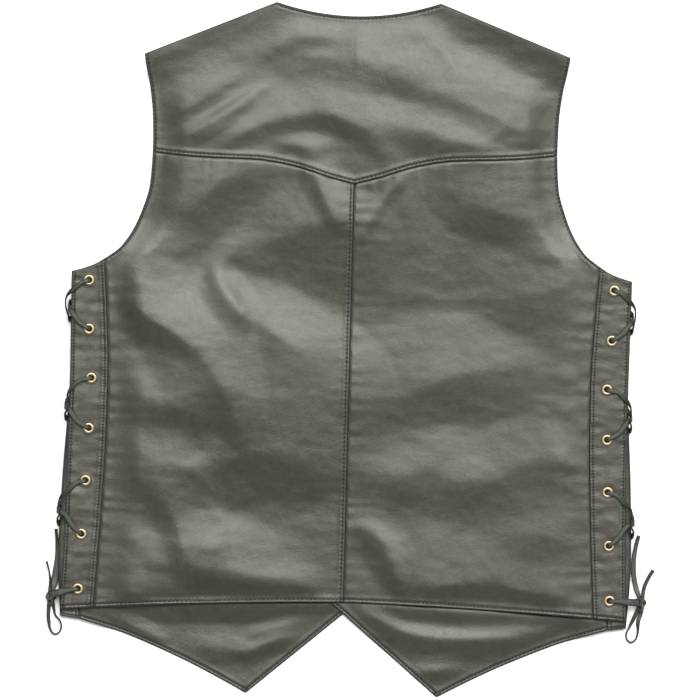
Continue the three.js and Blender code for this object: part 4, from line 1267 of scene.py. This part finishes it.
FRONT_SHARE = 0.52
FOOT_SHARE = 6 / 14
TIP_SHARE = 0.18
FRONT_COLUMNS, TIP_ROWS, REST_ROWS, TIP_LENGTH = 110, 64, 40, 110
FRONT_SHOULDER_TIP = (SHOULDER_TIP[0] - 0.55, SHOULDER_TIP[1] - 0.3)
FRONT_EDGE_BOTTOM, FRONT_EDGE_TOP = (-LAP / 2, FRONT_EDGE_BOTTOM_Y), (-LAP / 2, FRONT_EDGE_TOP_Y)
front_bottom = joined(straight(FRONT_EDGE_BOTTOM, FRONT_TIP), through(FRONT_HEM), FOOT_SHARE)
front_top = straight(NECK_POINT, FRONT_SHOULDER_TIP)
front_left_edge = joined(
    straight(FRONT_EDGE_BOTTOM, FRONT_EDGE_TOP), straight(FRONT_EDGE_TOP, NECK_POINT), FRONT_SHARE
)
front_right_edge = joined(through(FRONT_STRIP_SEAM), through(FRONT_ARMHOLE), FRONT_SHARE)
tip_up = spaced(TIP_LENGTH, TIP_ROWS, end=False)[:, 0] * TIP_SHARE
rest_up = TIP_SHARE + (np.arange(REST_ROWS) + 1) / REST_ROWS * (1 - TIP_SHARE)
front_up = np.concatenate([tip_up, rest_up])
front_grid = sheet_grid(
    front_bottom, front_top, front_left_edge, front_right_edge, front_up, FRONT_COLUMNS
)
front_grid[0][front_up <= FRONT_SHARE, -1] -= GAP / 2
fronts = {
    sign: Leather(
        f"front_{side}", sign, front_height if sign < 0 else right_front_height,
        {"foot": "foot", "front_hem": "foot", "front_strip_seam": "under", "front_armhole": "plain"},
    )
    for sign, side in SIDES
}
leather_piece(fronts[-1], mirrored(front_grid), ["floor"], *SHEETS["front"])
leather_piece(fronts[1], front_grid, ["floor"], *SHEETS["front"])

FRONT_STRIP_COLUMNS, FRONT_STRIP_ROWS, FRONT_STRIP_LENGTH = 8, 90, 345
front_strip_up = spaced(FRONT_STRIP_LENGTH, FRONT_STRIP_ROWS)[:, 0]
front_strip_grid = sheet_grid(
    through(FRONT_STRIP_FOOT), through(FRONT_STRIP_TOP), through(FRONT_STRIP_SEAM), through(FRONT_SIDE),
    front_strip_up, FRONT_STRIP_COLUMNS,
)
front_strip_grid = seam_shift(front_strip_grid, column=0, move=(GAP / 2, 0))


# Eyelets

# Number of places round an eyelet, and radius and height of those on the loop that is turned round its axis
EYELET_TURNS = 40
EYELET_LOOP = np.array([
    [2.45, 0.9], [2.5, 1.3], [2.7, 1.62], [3.1, 1.88], [3.6, 2], [4.3, 2], [4.95, 1.86], [5.35, 1.55],
    [5.5, 1.2], [5.3, 1.02], [4.7, 1.04], [3.8, 1.06], [3.05, 1],
    [3.05, -1], [3.8, -1.06], [4.7, -1.04], [5.3, -1.02], [5.45, -1.18], [5.25, -1.4], [4.8, -1.6],
    [4.2, -1.7], [3.6, -1.72], [3.1, -1.65], [2.7, -1.5], [2.5, -1.3], [2.45, -0.9],
])


# Radii over which an eyelet's painted shade grows: out to its rim, and in to its bore
EYELET_RIM = (5.4, 5.6)
EYELET_BORE = (2.9, 2.5)


def eyelets_of(layer):
    """Centres of one strip's eyelets in the symmetric vest."""
    x = EYELETS[:, 0] if layer == "back" else outline_x(SIDE_EDGE, EYELETS[:, 1]) - FRONT_EYELET_INSET
    return np.stack([x, EYELETS[:, 1]], axis=-1)


def eyelet_row(name, centres, middle, nodes):
    """Seven brass eyelets: the loop's radius turned through a circle, at each centre."""
    angle = np.arange(EYELET_TURNS) / EYELET_TURNS * 2 * math.pi
    radius, height = EYELET_LOOP[:, None, 0], EYELET_LOOP[:, None, 1]
    ring = np.stack([radius * np.cos(angle), radius * np.sin(angle), height + 0 * angle], axis=-1)
    places = np.concatenate([centres, np.full((len(centres), 1), middle)], axis=1)
    points = (places[:, None, None] + ring).reshape(-1, 3)
    loops = len(EYELET_LOOP)
    squares = tube_faces(loops, EYELET_TURNS, closed=True)[:, [0, 3, 2, 1]]
    faces = (squares + np.arange(len(centres))[:, None, None] * loops * EYELET_TURNS).reshape(-1, 4)
    # Painted shade at the outer rim and in the bore
    dark = rise(EYELET_LOOP[:, 0], *EYELET_RIM) + rise(EYELET_LOOP[:, 0], *EYELET_BORE)
    shade = np.tile(np.repeat(np.clip(dark, 0, 1), EYELET_TURNS), len(centres))
    return make_piece(name, points, [faces], BRASS, "brass", nodes, edge=shade)


STRIP_FINISHES = {
    "back": {"strip_seam": "strip", "side": "side", "hem": "hem", "strip_top": "plain"},
    "front": {"front_strip_seam": "strip", "front_side": "dark", "front_strip_foot": "turned"},
}
strips = {}
for sign, side in SIDES:
    for layer, grid, height in (
        ("back", strip_grid, BACK_STRIP_HEIGHT), ("front", front_strip_grid, FRONT_STRIP_HEIGHT),
    ):
        centres = eyelets_of(layer)
        level = lambda x, y, height=height: np.full(x.shape, float(height))
        strip = Leather(f"{layer}_strip_{side}", sign, level, STRIP_FINISHES[layer], centres, crumple=2)
        strips[layer, sign] = strip
        rests_on = ["floor"] if layer == "front" else [f"front_strip_{side}"]
        placed_grid = mirrored(grid) if sign < 0 else grid
        leather_piece(strip, placed_grid, rests_on, *SHEETS[f"{layer}_strip"])
        nodes = [f"eyelet_{layer}_{side}_{number + 1}" for number in range(len(EYELETS))]
        placed = np.stack(lay(sign * centres[:, 0], centres[:, 1]), axis=-1)
        eyelet_row(f"eyelets_{layer}_{side}", placed, height + WALL / 2, nodes)


# Stitches

# Places along a stitch and its girth there, its half width and half height, how far its middle is bowed up,
# and the share of the step that half of it takes up
STITCH_SIDES = 6
STITCH_RINGS = np.array([[-1, 0.45], [-0.75, 0.9], [0, 1], [0.75, 0.9], [1, 0.45]])
STITCH_WIDTH = 0.42
STITCH_HEIGHT = 0.34
STITCH_BOW = 0.26
STITCH_SHARE = 0.37


def stitch_row(name, leather, edge, inward, first=0, last=1):
    """Row of stitches inside an edge: closed spindles between the needle holes, bowed up in the middle.
    Inward is 1 where the leather lies to the left of the edge's line, or -1."""
    facts = FINISHES[leather.finishes[edge]]
    line = EDGES[edge]
    at = np.concatenate([[0], np.cumsum(np.linalg.norm(np.diff(line, axis=0), axis=1))])
    middles = np.arange(0.5, at[-1] / facts["step"] - 0.5) * facts["step"]
    middles = middles[(middles >= first * at[-1]) & (middles <= last * at[-1])]
    half = STITCH_SHARE * facts["step"]
    ends = np.stack([middles - half, middles, middles + half])
    out, y = np.interp(ends, at, line[:, 0]), np.interp(ends, at, line[:, 1])
    way = np.stack([out[2] - out[0], y[2] - y[0]])
    way /= np.linalg.norm(way, axis=0)
    out, y = out - inward * facts["stitch"] * way[1], y + inward * facts["stitch"] * way[0]
    x = leather.side * out
    z = leather.face(x, y)[0]
    placed_x, placed_y = lay(x, y)
    mark = np.stack([placed_x, placed_y, z], axis=-1)
    tangent = unit(mark[2] - mark[0])
    across = unit(np.cross([0, 0, 1], tangent))
    up = np.cross(tangent, across)
    angle = np.arange(STITCH_SIDES) / STITCH_SIDES * 2 * math.pi
    length, girth = STITCH_RINGS[:, 0, None, None], STITCH_RINGS[:, 1, None, None]
    ring = (
        across[:, None, None] * np.cos(angle)[:, None] * STITCH_WIDTH
        + up[:, None, None] * np.sin(angle)[:, None] * STITCH_HEIGHT
    )
    bowed = length * half * tangent[:, None, None] + STITCH_BOW * (1 - length**2) * up[:, None, None]
    points = (mark[1][:, None, None] + bowed + girth * ring).reshape(-1, 3)
    rings, sides = len(STITCH_RINGS), STITCH_SIDES
    shift = (np.arange(len(middles)) * rings * sides)[:, None, None]
    squares, caps = tube_faces(rings, sides) + shift, tube_caps(rings, sides) + shift
    groups = [squares.reshape(-1, 4), caps.reshape(-1, sides)]
    make_piece(name, points, groups, THREAD, "thread")


def halves(leather):
    """The yoke is one piece, and its stitches are placed as on a left and a right half of it."""
    return {sign: Leather(leather.name, sign, leather.height, leather.finishes) for sign, _ in SIDES}


yokes = halves(yoke)
for sign, side in SIDES:
    stitch_row(f"stitches_neck_{side}", yokes[sign], "neck", -1)
    stitch_row(f"stitches_armhole_upper_{side}", yokes[sign], "armhole_upper", 1)
    stitch_row(f"stitches_yoke_seam_{side}", yokes[sign], "yoke_seam", 1)
    stitch_row(f"stitches_armhole_lower_{side}", panels[sign], "armhole_lower", 1)
    stitch_row(f"stitches_hem_{side}", panels[sign], "hem", 1, last=0.87)
    stitch_row(f"stitches_strip_seam_{side}", strips["back", sign], "strip_seam", -1)
    stitch_row(f"stitches_side_{side}", strips["back", sign], "side", 1)
    stitch_row(f"stitches_strip_hem_{side}", strips["back", sign], "hem", 1, first=0.89)
    stitch_row(f"stitches_foot_{side}", fronts[sign], "foot", 1, first=0.08)
    stitch_row(f"stitches_front_hem_{side}", fronts[sign], "front_hem", 1)
stitch_row("stitches_centre", panels[-1], "centre", -1)


# Laces


def smooth_route(points, step):
    """Curve through the points with slopes that suit their uneven spacing, cut into even steps. The columns
    past the third are carried along with it."""
    rows = np.vstack([2 * points[0] - points[1], points, 2 * points[-1] - points[-2]])
    gaps = np.maximum(np.linalg.norm(np.diff(rows[:, :3], axis=0), axis=1) ** 0.5, 1e-4)[:, None, None]
    before, start, end, after = (rows[k : len(points) - 1 + k, None] for k in range(4))
    a, b, c = gaps[:-2], gaps[1:-1], gaps[2:]
    slope_in = ((start - before) / a - (end - before) / (a + b) + (end - start) / b) * b
    slope_out = ((end - start) / b - (after - start) / (b + c) + (after - end) / c) * b
    share = np.linspace(0, 1, 24, endpoint=False)[None, :, None]
    fine = bend(start, end, slope_in, slope_out, share)
    fine = np.vstack([fine.reshape(-1, rows.shape[1]), points[-1]])
    at = np.concatenate([[0], np.cumsum(np.linalg.norm(np.diff(fine[:, :3], axis=0), axis=1))])
    even = np.linspace(0, at[-1], max(8, int(at[-1] / step)))
    return np.stack([np.interp(even, at, column) for column in fine.T], axis=-1)


def thong(name, route, width_way, nodes, widen=1, closed=False):
    """Flat thong along a route: a rectangle with rounded corners, a superellipse, whose width lies along
    width_way where that is square to the route, and is widened where the thong is spread flat."""
    tangent = unit(np.gradient(route, axis=0))
    across = unit(width_way - tangent * (width_way * tangent).sum(axis=1, keepdims=True))
    up = np.cross(tangent, across)
    sides = THONG_SIDES
    angle = (np.arange(sides) + 0.5) / sides * 2 * math.pi
    rounded = lambda wave: np.sign(wave) * np.abs(wave) ** THONG_SQUARENESS
    wide = rounded(np.cos(angle)) * THONG_WIDTH / 2
    thick = rounded(np.sin(angle)) * THONG_THICKNESS / 2
    widen = np.broadcast_to(widen, len(route))
    reach = np.abs(across[:, 2]) * widen * THONG_WIDTH / 2 + np.abs(up[:, 2]) * THONG_THICKNESS / 2
    route = route.copy()
    route[:, 2] = np.maximum(route[:, 2], reach + FLOOR_CLEARANCE)
    spread = widen[:, None, None] * wide[:, None] * across[:, None]
    points = route[:, None] + spread + thick[:, None] * up[:, None]
    rings = len(route)
    groups = [tube_faces(rings, sides, closed)]
    if not closed:
        groups.append(tube_caps(rings, sides))
    # Painted shade darkens the face from near its middle out to the cut edges, which are dark of their own
    shade = np.tile(rise(np.abs(wide), *THONG_EDGE_AND_SHADE), (rings, 1)) * (not closed)
    piece = make_piece(name, points.reshape(-1, 3), groups, THONG, "thong", nodes, edge=shade)
    return piece, route


def through_eyelet(layer, index, from_outside, before, after):
    """Route through one eyelet, with the thong's width square to each strand: columns x, y, z and the width's
    x, y and z."""
    centre = eyelets_of(layer)[index]
    heights = LAYERS[layer]
    rows = []
    for neighbour, outside, entering in ((before, from_outside, True), (after, not from_outside, False)):
        towards = unit(np.asarray(neighbour[:2], float) - centre)
        square = [-towards[1], towards[0], 0]
        face = heights["outside" if outside else "inside"]
        mouth = heights["outside_mouth" if outside else "inside_mouth"]
        pair = [
            [*(centre + AT_FACE * towards), face, *square], [*(centre + AT_MOUTH * towards), mouth, *square],
        ]
        rows += pair if entering else pair[::-1]
    return rows


def round_the_side(back_index, front_index, bow):
    """Route round the folded side from an eyelet of the back strip to one of the front strip. The table's
    columns are x, place between the two eyelets from -1 at the lower one to 1 at the upper one, z, and the y
    and z of the width's direction. The strand from the upper eyelet bows out past the vest's edge, where it
    stands on its own edge, and crosses over the other."""
    middle = (EYELETS[back_index, 1] + EYELETS[front_index, 1]) / 2
    half = abs(EYELETS[back_index, 1] - EYELETS[front_index, 1]) / 2
    edge = outline_x(SIDE_EDGE, middle)
    hem = max(edge, outline_x(FRONT_SIDE, middle) + SIDE_CLEARANCE)
    if back_index < front_index:
        route = [
            [edge - 10.5, 0.9, 13.4, 1, 0], [edge - 3.5, 0.66, 14.4, 0.8, 0.2],
            [edge + 0.75 * bow, 0.34, 15.6, 0.4, 0.6], [edge + bow, 0.02, 16, 0, 1],
            [edge + 0.8 * bow, -0.24, 16, 0, 1], [hem + 2.5, -0.44, 13, -0.5, 0.5],
            [hem + 2.2, -0.55, 7.5, -1, 0], [hem + 1.9, -0.59, 2.5, -1, 0], [hem - 2, -0.7, 1.32, -1, 0],
        ]
    else:
        route = [
            [edge - 9, -0.74, 13.2, 1, 0], [edge - 3.8, -0.48, 13, 1, 0], [edge, -0.28, 12.9, 1, 0],
            [hem + 2.3, -0.14, 11.2, 1, 0], [hem + 2.2, -0.04, 7.5, 1, 0], [hem + 1.8, 0.04, 2.5, 1, 0],
            [hem - 2, 0.18, 1.32, 1, 0],
        ]
    return [[x, middle + share * half, z, 0, *width] for x, share, z, *width in route]


def lace_run(ends):
    """Route of one side's lace from the knot through all the eyelets and back, with its width's direction."""
    flat = lambda rows: [[*row, 0, 1, 0] for row in rows]
    legs = []
    for i, (layer, index, from_outside) in enumerate(STOPS):
        if i == len(STOPS) - 1:
            legs.append(flat(ends["to_front"]))
            continue
        next_layer, next_index, _ = STOPS[i + 1]
        if from_outside or layer == next_layer or (layer == "front" and index == next_index):
            legs.append([])
        elif layer == "back":
            legs.append(round_the_side(index, next_index, ends["bows"][min(index, next_index) // 2]))
        else:
            legs.append(round_the_side(next_index, index, ends["bows"][min(index, next_index) // 2])[::-1])
    rows = flat(ends["from_back"])
    for i, (layer, index, from_outside) in enumerate(STOPS):
        after = legs[i][0] if legs[i] else eyelets_of(STOPS[i + 1][0])[STOPS[i + 1][1]]
        rows += through_eyelet(layer, index, from_outside, rows[-1], after) + legs[i]
    rows = np.array(rows, float)
    turns = np.sign((rows[1:, 3:] * rows[:-1, 3:]).sum(axis=1) + 1e-6)
    rows[1:, 3:] *= np.cumprod(turns)[:, None]
    return rows


def lie(route, sign):
    """A route of the symmetric vest's right side as it lies on the given side."""
    x, y = lay(sign * route[:, 0], route[:, 1])
    return np.concatenate([x[:, None], y[:, None], route[:, 2:]], axis=1)


def length_of(route):
    """Length of a route in metres."""
    return float(np.linalg.norm(np.diff(route, axis=0), axis=1).sum()) * MM


def declare_cord(piece, route):
    """Works out the route's first point, its length and its points in metres, and keeps none of them."""
    tuple(route[0] * MM)
    length_of(route)
    (route * MM).tolist()


def tie_knot(name, centre, nodes):
    """Overhand knot: a thong along a trefoil, the curve (sin t + 2 sin 2t, cos t - 2 cos 2t, -1.5 sin 3t),
    stretched and moved."""
    t = np.linspace(0, 2 * math.pi, KNOT_STEPS, endpoint=False)
    trefoil = np.stack([
        np.sin(t) + 2 * np.sin(2 * t), np.cos(t) - 2 * np.cos(2 * t), -1.5 * np.sin(3 * t),
    ], axis=-1)
    route = centre + KNOT_SHIFT + trefoil * KNOT_STRETCH
    tangent = unit(np.roll(trefoil, -1, axis=0) - np.roll(trefoil, 1, axis=0))
    width_way = np.cross(tangent, unit(trefoil + [0, 0, 1e-3]))
    return thong(name, route, width_way, nodes, closed=True)[0]


for sign, side in SIDES:
    ends = LACE_ENDS[side]
    centre = np.array(ends["knot"], float)
    knot_x, knot_y = lay(sign * centre[0], centre[1])
    knot = tie_knot(f"knot_{side}", np.array([knot_x, knot_y, centre[2]]), [f"lace_knot_{side}"])
    rows = lie(smooth_route(lace_run(ends), RUN_STEP), sign)
    width_way = rows[:, 3:] * [sign, 1, 1]
    from_knot = np.arange(len(rows)) * RUN_STEP
    centres = np.concatenate([eyelets_of("back"), eyelets_of("front")])
    rings = np.stack(lay(sign * centres[:, 0], centres[:, 1]), axis=-1)
    from_ring = np.linalg.norm(rows[:, None, :2] - rings, axis=2).min(axis=1)
    flatness = 1 - np.abs(unit(width_way)[:, 2])
    crossing = CROSSING_SPREAD * rise(from_ring, *CROSSING_BEGINS) * flatness
    widen = 1 + crossing + KNOT_SPREAD * (1 - rise(from_knot, *KNOT_SPREAD_ENDS))
    piece, route = thong(f"lace_{side}", rows[:, :3], width_way, [f"lace_run_{side}"], widen=widen)
    declare_cord(piece, route)
    for part, node, far_end in (
        ("loop", "lace_loop", "object"), ("short_tail", "lace_tail_short", "bare"),
        ("long_tail", "lace_tail_long", "bare"),
    ):
        rows = lie(smooth_route(np.array(ends[part], float), TAIL_STEP), sign)
        level = np.cross([0, 0, 1], unit(np.gradient(rows[:, :3], axis=0)))
        stand = rows[:, 3:4]
        width_way = level * (1 - stand) + np.array([0, 0, 1]) * stand
        spread = TAIL_SPREAD[side] if part == "long_tail" else 0
        from_knot = np.arange(len(rows)) * TAIL_STEP
        ending = 1 - rise(from_knot, *TAIL_SPREAD_ENDS)
        widen = 1 + spread * rise(from_knot, *TAIL_SPREAD_BEGINS) * ending
        piece, route = thong(f"lace_{part}_{side}", rows[:, :3], width_way, [f"{node}_{side}"], widen=widen)
        declare_cord(piece, route)


# Floor

FLOOR_HALF = 3.0
FLOOR_DROP = 0.0003
mesh = bpy.data.meshes.new("floor")
corners = [(x * FLOOR_HALF, y * FLOOR_HALF, 0) for x, y in ((-1, -1), (1, -1), (1, 1), (-1, 1))]
mesh.from_pydata(corners, [], [(0, 1, 2, 3)])
mesh.materials.append(floor_paint())
floor = bpy.data.objects.new("floor", mesh)
floor.location = (0, 0, -FLOOR_DROP)
bpy.context.scene.collection.objects.link(floor)
